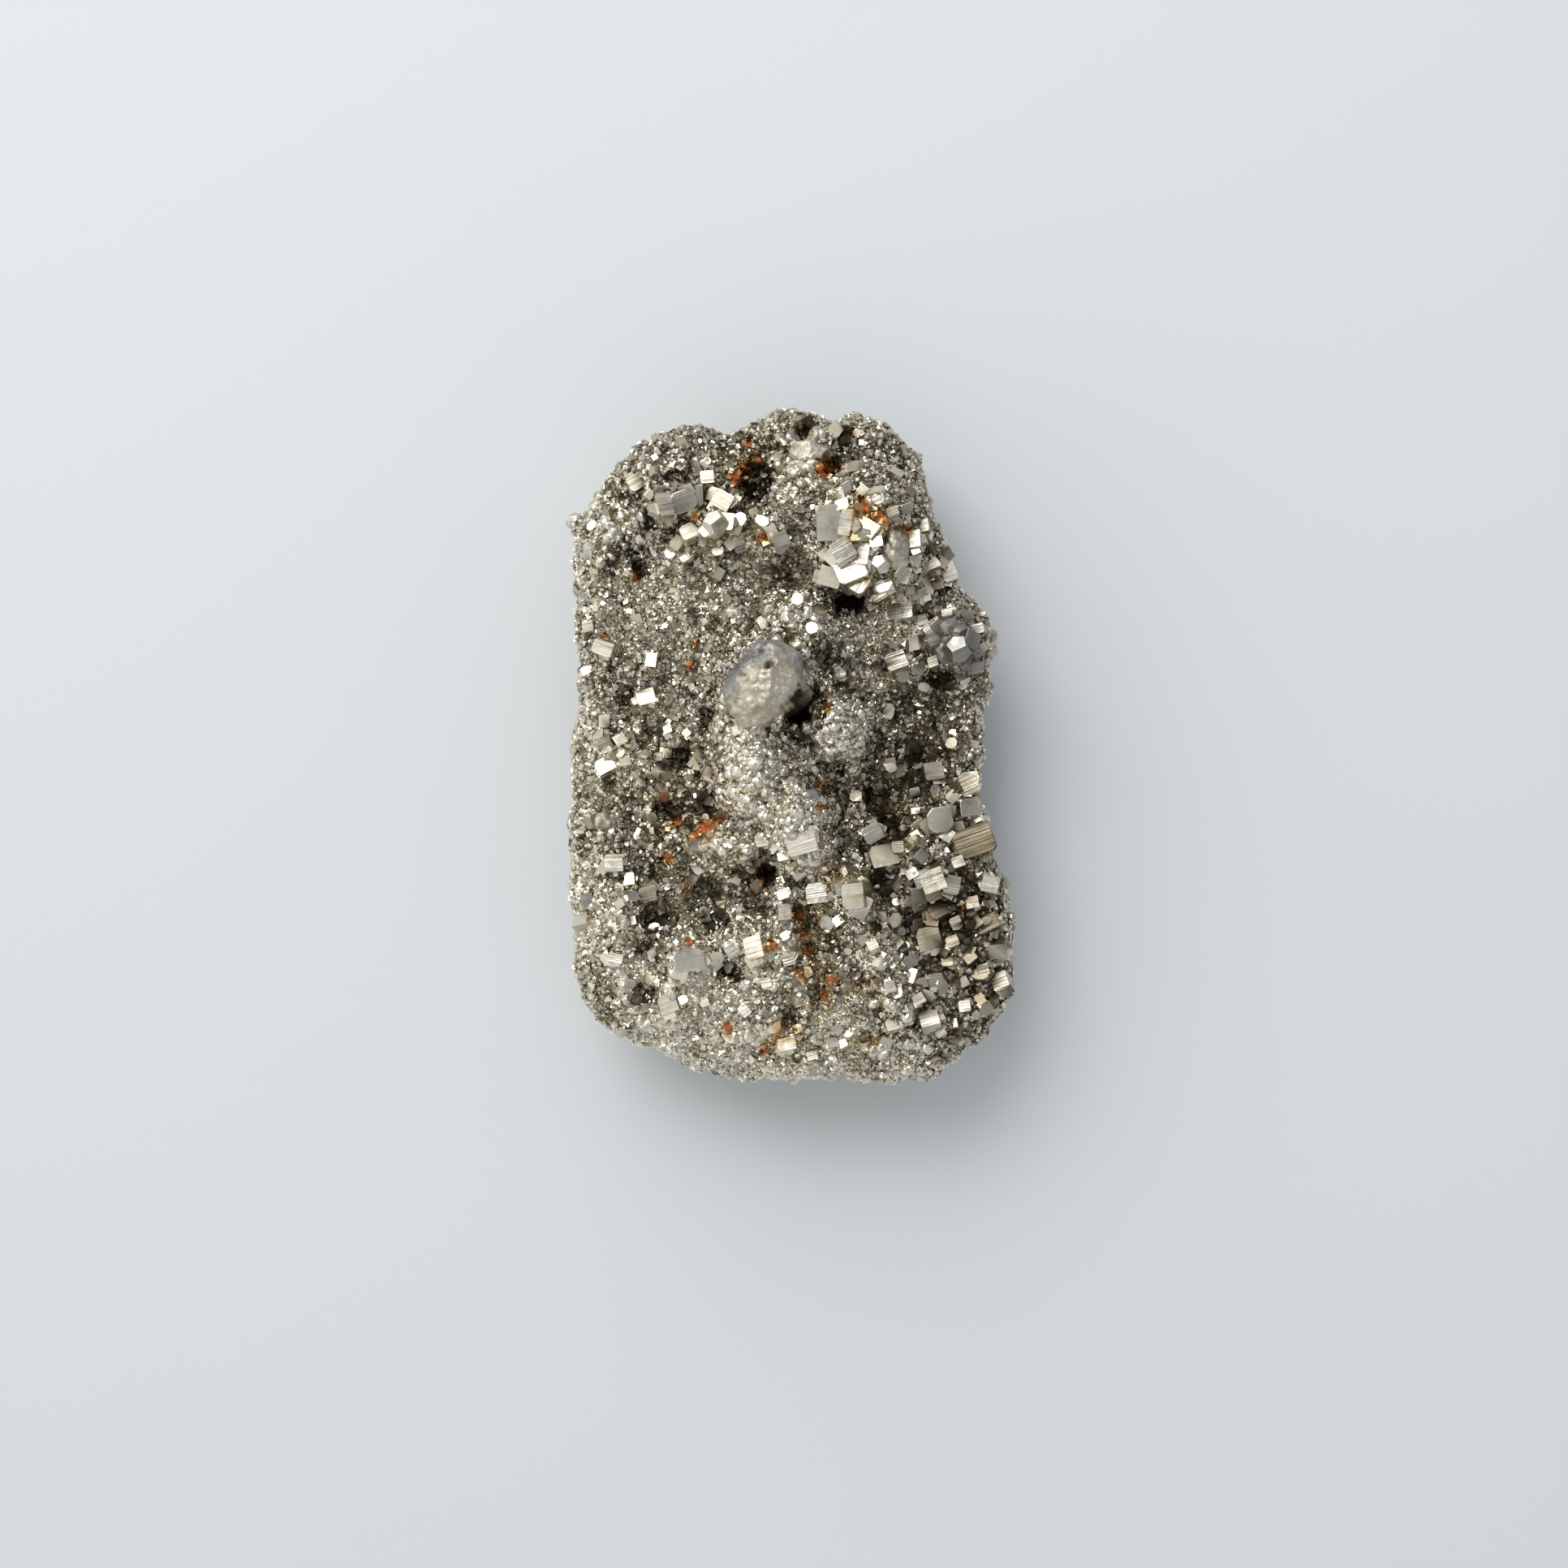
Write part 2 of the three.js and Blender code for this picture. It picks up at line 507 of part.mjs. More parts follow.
// The mass lies on the flat where it broke off
const withFlatBase = (solid) => {
  const below = new THREE.BoxGeometry(2 * wellOutside, 2 * wellOutside, 20);
  below.translate(0, 0, -10);
  return solid.subtract(toSolid(below));
};

const pitted = withPits(toSolid(bodyGeometry));
const grown = withWallCrystals(withSingleCrystals(pitted));
const pyriteGeometry = toGeometry(withFlatBase(grown));
pyriteGeometry.computeBoundingBox();
const middle = pyriteGeometry.boundingBox.getCenter(new THREE.Vector3());
pyriteGeometry.translate(-middle.x, -middle.y, 0);

const pyrite = new THREE.Mesh(pyriteGeometry, new THREE.MeshStandardMaterial({
  color: pyriteColour,
  roughness: pyriteRoughness,
  metalness: pyriteMetalness,
}));
pyrite.name = "pyrite_cluster";

const specimen = new THREE.Group();
specimen.add(pyrite);

export default specimen;
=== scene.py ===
# Pyrite specimen lying on its back on a pale floor. Metres, +Z up, +Y along its long side.
import itertools
import math
import random

import bpy
import numpy as np
from mathutils import Matrix, Quaternion, Vector
from mathutils.bvhtree import BVHTree


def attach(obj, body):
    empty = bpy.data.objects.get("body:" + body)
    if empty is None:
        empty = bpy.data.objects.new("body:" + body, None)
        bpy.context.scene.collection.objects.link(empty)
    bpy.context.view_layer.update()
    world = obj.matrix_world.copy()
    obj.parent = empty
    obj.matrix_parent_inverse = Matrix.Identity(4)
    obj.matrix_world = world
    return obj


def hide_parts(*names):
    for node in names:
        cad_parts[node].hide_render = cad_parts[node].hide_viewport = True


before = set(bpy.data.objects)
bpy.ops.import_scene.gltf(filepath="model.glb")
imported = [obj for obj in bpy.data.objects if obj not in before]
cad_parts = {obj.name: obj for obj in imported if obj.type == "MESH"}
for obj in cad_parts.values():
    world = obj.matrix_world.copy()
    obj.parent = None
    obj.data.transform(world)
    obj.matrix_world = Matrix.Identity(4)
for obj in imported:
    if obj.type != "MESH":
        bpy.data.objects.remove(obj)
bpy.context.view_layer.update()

mm = 0.001
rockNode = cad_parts["pyrite_cluster"]


# Small helpers, as they would be clicked

def deselectAll():
    bpy.ops.object.select_all(action="DESELECT")


def pick(piece):
    deselectAll()
    piece.select_set(True)
    bpy.context.view_layer.objects.active = piece


def applyModifiers(piece):
    pick(piece)
    for modifier in list(piece.modifiers):
        bpy.ops.object.modifier_apply(modifier=modifier.name)


def vertexPlaces(piece):
    places = np.empty(len(piece.data.vertices) * 3)
    piece.data.vertices.foreach_get("co", places)
    return places.reshape(-1, 3)


def vertexNormals(piece):
    normals = np.empty(len(piece.data.vertices) * 3)
    piece.data.vertices.foreach_get("normal", normals)
    return normals.reshape(-1, 3)


def storeValue(piece, name, values):
    layer = piece.data.attributes.get(name) or piece.data.attributes.new(name, "FLOAT", "POINT")
    layer.data.foreach_set("value", np.asarray(values, dtype=np.float32))


def smoothStep(low, high, values):
    part = np.clip((values - low) / (high - low), 0, 1)
    return part * part * (3 - 2 * part)


# The camera looks straight down on the crystal face
faceOrigin = Vector((-0.042, 0.332, 0))  # mm, where the face's x and y are measured from
camera = {
    "spot": (-0.7, -4.4),       # mm, the point of the face under the lens
    "height": 328,              # mm above the floor
    "lens": 65.2,
    "sensor": 36,
    "outlineLevel": 13,         # mm, where the outline is widest and the face was measured
}
eye = (Vector((*camera["spot"], camera["height"])) + faceOrigin) * mm
bpy.ops.object.camera_add(location=eye, rotation=(0, 0, 0))
bpy.context.object.name = "faceCamera"
bpy.context.object.data.lens = camera["lens"]
bpy.context.object.data.sensor_width = camera["sensor"]
bpy.context.object.data.clip_start = 0.01
bpy.context.scene.camera = bpy.context.object
print("camera placed")


# Pale floor
floorFinish = {"colour": (0.72, 0.756, 0.776), "roughness": 0.75, "side": 6.0}


def floorMaterial():
    material = bpy.data.materials.new("paleFloor")
    material.use_nodes = True
    shader = material.node_tree.nodes["Principled BSDF"]
    shader.inputs["Base Color"].default_value = (*floorFinish["colour"], 1)
    shader.inputs["Roughness"].default_value = floorFinish["roughness"]
    shader.inputs["Specular IOR Level"].default_value = 0.2
    return material


deselectAll()
bpy.ops.mesh.primitive_plane_add(size=floorFinish["side"], location=(0, 0, 0))
floor = bpy.context.object
floor.name = "floor"
floor.data.materials.append(floorMaterial())


# Light: a softbox from the upper left with a wide pale cloth round it, and a pale room
lights = {
    "keyFrom": (-0.29, 0.44, 0.85), "keyAway": 0.6, "keySize": 0.34, "keyWatts": 0.96,
    "clothFrom": (-0.34, 0.74, 0.58), "clothAway": 0.7, "clothSize": 0.8, "clothWatts": 1.7,
    "roomCool": (0.25, 0.265, 0.29), "roomWarm": (1.1, 1.085, 1.055), "roomPatches": 2.2,
    "brighterSide": (-0.36, 0.02, -0.22), "wallSeen": (0.72, 0.75, 0.765),
}


def addSoftbox(name, fromWhere, away, size, watts):
    direction = Vector(fromWhere).normalized()
    turned = direction.to_track_quat("Z", "Y").to_euler()
    bpy.ops.object.light_add(type="AREA", location=direction * away, rotation=turned)
    box = bpy.context.object
    box.name = name
    box.data.shape = "DISK"
    box.data.size = size
    box.data.energy = watts
    return box


addSoftbox("keySoftbox", lights["keyFrom"], lights["keyAway"], lights["keySize"], lights["keyWatts"])
addSoftbox("paleCloth", lights["clothFrom"], lights["clothAway"], lights["clothSize"], lights["clothWatts"])


def makeRoom():
    # A pale room with brighter and darker places in it, for the metal to mirror
    world = bpy.data.worlds.new("paleRoom")
    bpy.context.scene.world = world
    world.use_nodes = True
    nodes, links = world.node_tree.nodes, world.node_tree.links
    around = nodes.new("ShaderNodeTexCoord")
    patches = nodes.new("ShaderNodeTexNoise")
    patches.inputs["Scale"].default_value = lights["roomPatches"]
    patches.inputs["Detail"].default_value = 2
    amount = nodes.new("ShaderNodeMapRange")
    amount.inputs["From Min"].default_value = 0.36
    amount.inputs["From Max"].default_value = 0.64
    side = nodes.new("ShaderNodeVectorMath")
    side.operation = "DOT_PRODUCT"
    side.inputs[1].default_value = lights["brighterSide"]
    both = nodes.new("ShaderNodeMath")
    both.operation = "ADD"
    both.use_clamp = True
    shade = nodes.new("ShaderNodeMix")
    shade.data_type = "RGBA"
    shade.inputs[6].default_value = (*lights["roomCool"], 1)
    shade.inputs[7].default_value = (*lights["roomWarm"], 1)
    # The camera itself sees an even wall behind the floor
    seen = nodes.new("ShaderNodeLightPath")
    even = nodes.new("ShaderNodeMix")
    even.data_type = "RGBA"
    even.inputs[7].default_value = (*lights["wallSeen"], 1)
    links.new(around.outputs["Generated"], patches.inputs["Vector"])
    links.new(around.outputs["Generated"], side.inputs[0])
    links.new(patches.outputs["Fac"], amount.inputs["Value"])
    links.new(amount.outputs["Result"], both.inputs[0])
    links.new(side.outputs["Value"], both.inputs[1])
    links.new(both.outputs["Value"], shade.inputs[0])
    links.new(seen.outputs["Is Camera Ray"], even.inputs[0])
    links.new(shade.outputs[2], even.inputs[6])
    links.new(even.outputs[2], nodes["Background"].inputs["Color"])


makeRoom()
bpy.context.scene.view_settings.view_transform = "Standard"
print("floor and lights placed")


# Pyrite finishes. Every piece carries three values at its points: tone from dark to bright,
# rust for the iron stains, and a darkening that is painted shade in pits, creases and gaps and
# at the feet of crystals, with dust and tarnish. Massive pyrite has one more, grey, where it turns bluish.
pyrite = {
    "dark": (0.245, 0.2, 0.13), "mid": (0.63, 0.578, 0.462), "bright": (0.82, 0.78, 0.67),
    "shadeAndTarnish": (0.036, 0.021, 0.006), "rust": (0.64, 0.18, 0.032), "rustDark": (0.26, 0.065, 0.014),
    "ochre": (0.46, 0.29, 0.075), "grey": (0.37, 0.374, 0.378),
}


def pyriteMaterial(name, roughLow, roughHigh, facetSize, facetDepth, waviness=0.6, striated=0.0, calm="", patchy=0.22):
    material = bpy.data.materials.new(name)
    material.use_nodes = True
    tree = material.node_tree
    shader = tree.nodes["Principled BSDF"]

    def add(kind, **settings):
        node = tree.nodes.new(kind)
        for key, value in settings.items():
            setattr(node, key, value)
        return node

    def link(source, target):
        tree.links.new(source, target)

    def attribute(key):
        return add("ShaderNodeAttribute", attribute_name=key).outputs["Fac"]

    def mixColour(amount, first, second):
        mix = add("ShaderNodeMix", data_type="RGBA")
        link(amount, mix.inputs[0])
        for socket, value in ((mix.inputs[6], first), (mix.inputs[7], second)):
            if isinstance(value, tuple):
                socket.default_value = (*value, 1)
            else:
                link(value, socket)
        return mix.outputs[2]

    def calc(operation, first, second, clamp=False):
        node = add("ShaderNodeMath", operation=operation, use_clamp=clamp)
        for socket, value in zip(node.inputs, (first, second)):
            if isinstance(value, (int, float)):
                socket.default_value = value
            else:
                link(value, socket)
        return node.outputs[0]

    def remap(value, low, high, newLow, newHigh):
        node = add("ShaderNodeMapRange")
        link(value, node.inputs["Value"])
        for key, number in (("From Min", low), ("From Max", high), ("To Min", newLow), ("To Max", newHigh)):
            node.inputs[key].default_value = number
        return node.outputs["Result"]

    place = add("ShaderNodeTexCoord").outputs["Object"]

    def noise(sizeInMm, detail=3.0):
        node = add("ShaderNodeTexNoise")
        node.inputs["Scale"].default_value = 1 / (sizeInMm * mm)
        node.inputs["Detail"].default_value = detail
        link(place, node.inputs["Vector"])
        return node.outputs["Fac"]

    # Tone: each crystal's own plus a painted shade for each of its faces, with patches of tarnish over it
    tarnish = noise(2.6)
    toneAndFacetShade = calc("ADD", attribute("tone"), attribute("shade"))
    tone = calc("ADD", toneAndFacetShade, remap(tarnish, 0.3, 0.7, -patchy, patchy), clamp=True)
    ramp = add("ShaderNodeValToRGB")
    ramp.color_ramp.elements[0].color = (*pyrite["dark"], 1)
    ramp.color_ramp.elements[1].color = (*pyrite["bright"], 1)
    ramp.color_ramp.elements.new(0.45).color = (*pyrite["mid"], 1)
    link(tone, ramp.inputs["Fac"])

    # Stains have ragged edges
    raggedness = remap(noise(0.7, 4.0), 0.3, 0.7, -0.4, 0.4)
    rust = remap(calc("ADD", attribute("rust"), raggedness), 0.62, 0.8, 0, 1)
    rustColour = mixColour(remap(noise(0.45), 0.35, 0.6, 0, 1), pyrite["rustDark"], pyrite["rust"])
    fringe = remap(calc("ADD", attribute("rust"), remap(noise(0.9), 0.3, 0.7, -0.2, 0.2)), 0.1, 0.4, 0, 0.75)
    greyed = mixColour(attribute("grey"), ramp.outputs["Color"], pyrite["grey"])
    tinted = mixColour(fringe, greyed, pyrite["ochre"])
    # The stored darkening mixes the colour towards near-black: painted shade in pits, creases and gaps, with dust and
    # tarnish
    shadeAndTarnish = attribute("shadeAndTarnish")
    metalColour = mixColour(shadeAndTarnish, tinted, pyrite["shadeAndTarnish"])
    link(mixColour(rust, metalColour, rustColour), shader.inputs["Base Color"])
    link(calc("SUBTRACT", 1.0, rust, clamp=True), shader.inputs["Metallic"])

    # Gloss: bright faces are the smoothest
    gloss = remap(calc("ADD", tone, remap(noise(0.9), 0.3, 0.7, -0.3, 0.3)), 0, 1, roughHigh, roughLow)
    dulled = calc("MAXIMUM", gloss, remap(calc("MAXIMUM", rust, shadeAndTarnish), 0, 1, 0.0, 0.75))
    if calm:
        dulled = calc("ADD", dulled, remap(attribute(calm), 0, 1, 0, 0.2), clamp=True)
    link(dulled, shader.inputs["Roughness"])

    # Small flat facets: in each cell the surface tips its own way
    cells = add("ShaderNodeTexVoronoi")
    cells.inputs["Scale"].default_value = 1 / (facetSize * mm)
    link(place, cells.inputs["Vector"])
    across = add("ShaderNodeVectorMath", operation="SUBTRACT")
    link(place, across.inputs[0])
    link(cells.outputs["Position"], across.inputs[1])
    ownWay = add("ShaderNodeVectorMath", operation="SUBTRACT")
    link(cells.outputs["Color"], ownWay.inputs[0])
    ownWay.inputs[1].default_value = (0.5, 0.5, 0.5)
    tilt = add("ShaderNodeVectorMath", operation="DOT_PRODUCT")
    link(across.outputs["Vector"], tilt.inputs[0])
    link(ownWay.outputs["Vector"], tilt.inputs[1])
    facets = add("ShaderNodeBump")
    facets.inputs["Strength"].default_value = facetDepth
    facets.inputs["Distance"].default_value = 1.0
    if calm:
        link(remap(attribute(calm), 0, 1, facetDepth, 0.1 * facetDepth), facets.inputs["Strength"])
    link(tilt.outputs["Value"], facets.inputs["Height"])
    # Slow waves, so that no face is a perfect mirror
    waves = add("ShaderNodeBump")
    waves.inputs["Strength"].default_value = waviness
    waves.inputs["Distance"].default_value = 0.16 * mm
    link(noise(1.3, 2.0), waves.inputs["Height"])
    link(facets.outputs["Normal"], waves.inputs["Normal"])
    last = waves
    if striated:
        # Striations run along each face, in the face's own measure in millimetres
        uv = add("ShaderNodeUVMap", uv_map="faceMap").outputs["UV"]
        lines = add("ShaderNodeTexNoise", noise_dimensions="2D")
        stretch = add("ShaderNodeMapping")
        stretch.inputs["Scale"].default_value = (0.05, 3.2, 1)
        link(uv, stretch.inputs["Vector"])
        link(stretch.outputs["Vector"], lines.inputs["Vector"])
        lines.inputs["Scale"].default_value = 1.0
        lines.inputs["Detail"].default_value = 3.0
        lines.inputs["Roughness"].default_value = 0.65
        fine = add("ShaderNodeBump")
        fine.inputs["Strength"].default_value = 1.0
        fine.inputs["Distance"].default_value = striated * mm
        link(lines.outputs["Fac"], fine.inputs["Height"])
        link(waves.outputs["Normal"], fine.inputs["Normal"])
        last = fine
    link(last.outputs["Normal"], shader.inputs["Normal"])
    return material


massFinish = pyriteMaterial("massivePyrite", 0.2, 0.42, 0.42, 0.8, calm="massive")
druseFinish = pyriteMaterial("drusePyrite", 0.06, 0.22, 0.3, 0.25)
crystalFinish = pyriteMaterial("crystalPyrite", 0.18, 0.34, 1.1, 0.06, 0.16, striated=0.03, patchy=0.06)
striatedFinish = pyriteMaterial("striatedPyrite", 0.16, 0.32, 1.4, 0.04, 0.12, striated=0.06, patchy=0.05)
lumpFinish = pyriteMaterial("greyPyrite", 0.5, 0.72, 0.36, 0.5, 0.8)
print("pyrite finishes made")


# The solid as a surface to grow on
def rockTree():
    mesh = rockNode.data
    corners = [rockNode.matrix_world @ vertex.co for vertex in mesh.vertices]
    return BVHTree.FromPolygons(corners, [tuple(face.vertices) for face in mesh.polygons])


rockSurface = rockTree()


# Single crystals. x and y are where the camera sees each one, measured at the outline's level.
# Then width, length, turn and lean: a positive lean tips the top face to the upper left light.
# How far that direction wanders from crystal to crystal.
leanTowards = 124
leanSpread = 120
goldenPart = 0.618034
singleCrystals = {
    "upperLeft": [
        (-14, 26.3, 1.6, 2.6, 12, 26, "cube"), (-12, 27, 2.8, 2.2, 20, -13, "cut"),
        (-11, 23.4, 2.2, 1.7, 25, 22, "cube"), (-7.6, 26.7, 2, 2.4, -30, 8, "cube"),
        (-5.3, 22.8, 2.2, 2, 15, -32, "cube"), (-8.3, 24.4, 2.6, 2.4, 40, 16, "round"),
        (-17, 29, 1.7, 1.6, 30, 7, "cube"),
    ],
    "upperRight": [
        (4.2, 24.6, 2.4, 3.5, 4, -6, "cube"), (6.4, 24.6, 1.4, 2.6, -10, 29, "cube"),
        (8.6, 23.9, 2.4, 1.6, -35, 22, "cube"), (5.9, 21.5, 2.2, 2.3, 30, -8, "cube"),
        (8.1, 21.2, 1.6, 2.4, -8, 19, "cube"), (6.8, 18.9, 3, 3, 22, 24, "cube"),
        (4.5, 18.8, 2.2, 2, -15, -19, "cube"), (10.3, 17.8, 2.1, 2.1, 15, 16, "cut"),
        (10, 20, 1.9, 1.9, 40, -7, "round"), (14.3, 17.4, 2, 2.4, 28, 27, "cube"),
        (13.7, 22.5, 1.6, 1.9, 5, 24, "cube"), (17.4, 19, 1.7, 2.2, 20, 13, "cube"),
        (12.4, 15, 2.6, 2.4, 6, 21, "cube"),
    ],
    "middle": [
        (11.8, 8.9, 2.2, 2, 20, 26, "cube"), (16, 12.8, 2, 1.8, 35, 8, "cube"),
        (18.6, 10.6, 2.8, 2.6, 25, -7, "round"), (-16, 5, 1.9, 1.7, 15, 22, "cube"),
        (-20.5, 10.6, 2.5, 1.5, -20, 29, "cube"), (-20.4, -2.6, 1.9, 1.7, 30, 26, "cube"),
        (15.8, -3.2, 2, 1.9, 8, 19, "cube"), (16.5, -8.3, 2.6, 2.6, 10, -4, "cut"),
        (19.8, -4.8, 2, 2, 25, 14, "cube"), (19.5, -7, 2, 1.8, 5, -24, "cube"),
        (20.4, -10.8, 4, 3, 20, 6, "cube"),
    ],
    "lowerRight": [
        (10.3, -12.8, 2.8, 2.4, 15, 29, "cube"), (9, -9.8, 2, 1.9, 30, -8, "cube"),
        (15.8, -15.2, 2.4, 2.3, 20, 8, "cube"), (17.8, -15.8, 1.6, 2, -12, 22, "cube"),
        (14.1, -17, 1.6, 2.4, 8, -16, "cube"), (16.3, -18.6, 1.9, 1.9, 30, 26, "cube"),
        (15.6, -21.5, 2.4, 2.3, 15, 16, "cube"), (22, -20.2, 2.4, 1.8, 25, 34, "cube"),
        (23, -22.6, 1.8, 1.7, 9, -32, "cube"), (23.4, -26.3, 1.7, 1.8, 20, 19, "cube"),
        (15.5, -30.8, 2, 1.9, 15, 36, "cube"), (7.4, -16.8, 2.4, 2.6, 5, 26, "cube"),
        (3, -16.5, 2.2, 2, 8, 7, "cube"), (22.1, -15.7, 1.8, 1.8, -15, 16, "cube"),
    ],
    "lowerLeft": [
        (-13.2, -28.8, 2, 2, 20, 24, "cube"), (-16, -16.2, 1.8, 1.8, 9, -32, "cube"),
        (-19.6, -13.3, 1.9, 1.8, 3, 13, "cube"), (-3.8, -22.7, 1.9, 2.4, 15, 26, "cube"),
        (-11.2, -23.8, 3, 2.2, 8, -8, "cube"), (1.6, -11, 3.2, 2.2, 15, 22, "cube"),
        (-0.4, -33, 1.9, 1.7, 10, 9, "cube"),
    ],
}
# Smaller ones that stand out of the druse
smallerCrystals = {
    "upperLeft": [
        (-11.4, 28.4, 1.6, 1.1, 25, -32, "cube"), (-9.2, 29.6, 1.4, 1.3, 5, 3, "cube"),
        (-9.4, 31.1, 0.9, 0.9, 40, 26, "cube"), (-9.6, 23.4, 1, 0.9, 15, -32, "cube"),
        (-6, 26.8, 1.1, 1.2, -20, 26, "cube"), (-4, 25.4, 1, 1.2, 30, 19, "cube"),
        (-8, 21.5, 1.2, 1.1, 10, 6, "cut"), (-11.6, 20.8, 1.4, 1.2, 35, 19, "cube"),
        (-1.2, 22.7, 1.6, 1.4, 20, -13, "cube"), (0.5, 22.4, 1.2, 1.1, 5, 22, "cube"),
        (-15.6, 27.6, 1, 1, 50, 13, "cube"), (-6.6, 24.6, 1.3, 1, 30, -16, "cut"),
    ],
    "upperRight": [
        (5.8, 26.4, 1.3, 1.2, 15, 26, "cube"), (3.9, 21.2, 1.2, 1.1, 40, -16, "cube"),
        (9.6, 22.4, 1.3, 1.1, 10, 13, "cube"), (15.6, 19.7, 1.8, 1, 25, 26, "cube"),
        (17.2, 21, 1.4, 1.3, 35, -8, "cube"), (16.4, 17.6, 1.2, 1.1, 10, 22, "cube"),
        (11.3, 25.6, 1.2, 1.1, 20, 16, "cube"), (12.2, 19, 1.4, 1.2, 50, -22, "cube"),
        (7.2, 23, 1, 1.2, 5, 19, "cube"), (9.8, 27.2, 1.2, 1.1, 30, 6, "cut"),
        (12.8, 26.2, 1.1, 1, 15, -19, "cube"), (8, 28, 1.1, 1, 45, 26, "cube"),
        (14.8, 24.2, 1.1, 1.2, 10, 13, "cube"), (6.2, 28.6, 0.9, 1, 25, -16, "cube"),
        (11.6, 23.2, 1.5, 1.3, 35, 24, "round"), (12.6, 20.9, 1.3, 1.3, 15, 8, "cube"),
    ],
    "middle": [
        (2.4, 12.8, 1.2, 1.2, 20, 13, "cut"), (13.8, 11.1, 1.4, 1.4, 10, 26, "cube"),
        (5.6, 8, 1.1, 1.5, 15, 22, "cube"), (-2.9, 13.3, 1.2, 1.1, 30, 19, "cube"),
        (-22.3, 13, 1.2, 1.1, 10, 19, "cube"), (-22.6, 8, 1, 1, 30, 28, "cube"),
        (-18.4, -2, 1.2, 1.1, 12, 22, "cube"), (-13.5, 1.6, 0.9, 0.9, 20, 26, "cube"),
        (-11.5, 1.1, 0.8, 0.8, 45, 24, "cube"), (-14.5, -1.4, 0.9, 0.9, 5, 22, "cube"),
        (-10.6, -1.7, 0.8, 0.8, 35, 27, "cube"), (-9, 2.3, 1.5, 0.7, -45, 22, "cube"),
        (-5.8, 1.4, 0.9, 0.9, 20, 24, "cube"), (-20.8, -8.5, 1.6, 1.4, 15, -7, "round"),
        (17.1, -2.3, 1, 0.7, 20, 26, "cube"), (20.5, -8.3, 1.2, 1.1, 25, 19, "cube"),
        (13.8, -5.2, 1.1, 1, 15, -19, "cube"), (18, -5.8, 1.2, 1.2, 45, 7, "cube"),
        (14.2, -8.8, 1.2, 1.1, 30, -24, "cube"), (18.6, -9.2, 1.1, 1, 10, 22, "cube"),
        (-17.2, 3.9, 1, 1, 30, -16, "cube"), (14.6, 13.6, 1.2, 1.1, 20, 22, "cube"),
    ],
    "lowerRight": [
        (12.1, -11.4, 1.3, 1.2, 5, 22, "cube"), (13.6, -14.5, 1.2, 1.1, 30, 30, "cube"),
        (12.7, -17.7, 1, 1, 15, 26, "cube"), (14, -20, 1.1, 1.4, 10, -22, "cube"),
        (18, -22, 1.3, 1.2, 20, 22, "cube"), (19.4, -26.3, 1, 1, 30, 24, "cube"),
        (16, -26, 1.4, 1.3, 5, -13, "cube"), (11.3, -31.2, 1.3, 1.2, 15, 22, "cube"),
        (16.7, -31.9, 1.1, 1, 35, 16, "cube"), (20.2, -17.6, 1.3, 1.2, 10, 13, "cube"),
        (18.4, -19.6, 1.2, 1.3, 25, -19, "cube"), (20, -23.6, 1.3, 1.2, 40, 19, "cube"),
        (17.4, -24.2, 1.2, 1.1, 5, 24, "cube"), (13.2, -24, 1.3, 1.2, 20, -16, "cube"),
        (21.4, -25, 1.2, 1.2, 15, 8, "cube"), (14.2, -28.4, 1.2, 1.1, 30, 22, "cube"),
        (19.4, -29, 1.2, 1.2, 10, 13, "cube"), (9.2, -22.4, 1.1, 1.3, 25, 35, "cube"),
        (11, -27, 1.1, 1.2, 15, 22, "cube"), (5.4, -19.6, 1.1, 1, 35, 19, "cube"),
        (18.6, -13.2, 1.3, 1.2, 20, 22, "cube"), (14.4, -12.4, 1.2, 1.2, 50, -16, "cube"),
    ],
    "lowerLeft": [
        (-11.8, -28.4, 0.9, 0.9, 30, 24, "cube"), (-12.8, -26.5, 1.2, 0.9, 10, 19, "cube"),
        (-9.4, -28.6, 1, 1, 20, 22, "cube"), (-17.8, -15, 1, 1.3, 5, 19, "cube"),
        (-18.8, -17.7, 1, 0.9, 35, 24, "cube"), (-17.5, -19.7, 1, 0.9, 15, 26, "cube"),
        (-19.4, -23.8, 1.5, 1, -10, 7, "cube"), (-15.2, -23.2, 0.9, 0.9, 40, 22, "cube"),
        (-0.7, -16.9, 1.2, 1.2, 20, 34, "cube"), (-0.7, -18.7, 1.3, 1.6, 5, 16, "cube"),
        (-0.5, -21.3, 0.9, 0.9, 30, 22, "cube"), (-0.2, -23.9, 1.2, 1.2, 15, 7, "cube"),
        (-8.3, -23.8, 1.5, 1.3, 20, -8, "cut"), (-6.4, -22.8, 1.4, 1.3, 35, -2, "cube"),
        (-3.2, -11, 1.2, 1, 10, 22, "cube"), (-1.7, -11.5, 0.9, 0.9, 45, 24, "cube"),
        (-0.8, -12.5, 1.1, 1, 15, 19, "cube"), (4.6, -33.2, 1.2, 1, 10, 24, "cube"),
        (5.9, -33.2, 0.9, 0.9, 30, 19, "cube"), (2.4, -34.6, 1.1, 1, 20, 22, "cube"),
        (-2.6, -26.4, 1.1, 1, 15, 13, "cube"), (-5, -29.6, 1, 1, 40, 8, "cube"),
    ],
    "roundRightLump": [
        (15.9, 11.2, 1.3, 1.1, 20, 32, "cube"), (16.2, 13.2, 1.2, 1, 40, -14, "cube"),
        (17.4, 14.4, 1.1, 0.9, 10, 30, "cube"), (19.6, 14.2, 1.1, 1, 30, -18, "cube"),
        (20.8, 12.8, 1.2, 1, 15, 6, "cube"), (21.2, 10.8, 1.1, 0.9, 35, -24, "cube"),
        (20.7, 8.6, 1.2, 1, 5, -12, "cube"), (19.2, 7.4, 1.1, 1, 25, 30, "cube"),
        (17.2, 7.4, 1.2, 0.9, 45, -20, "cube"), (16, 9, 1.1, 1.2, 15, 33, "cube"),
    ],
}
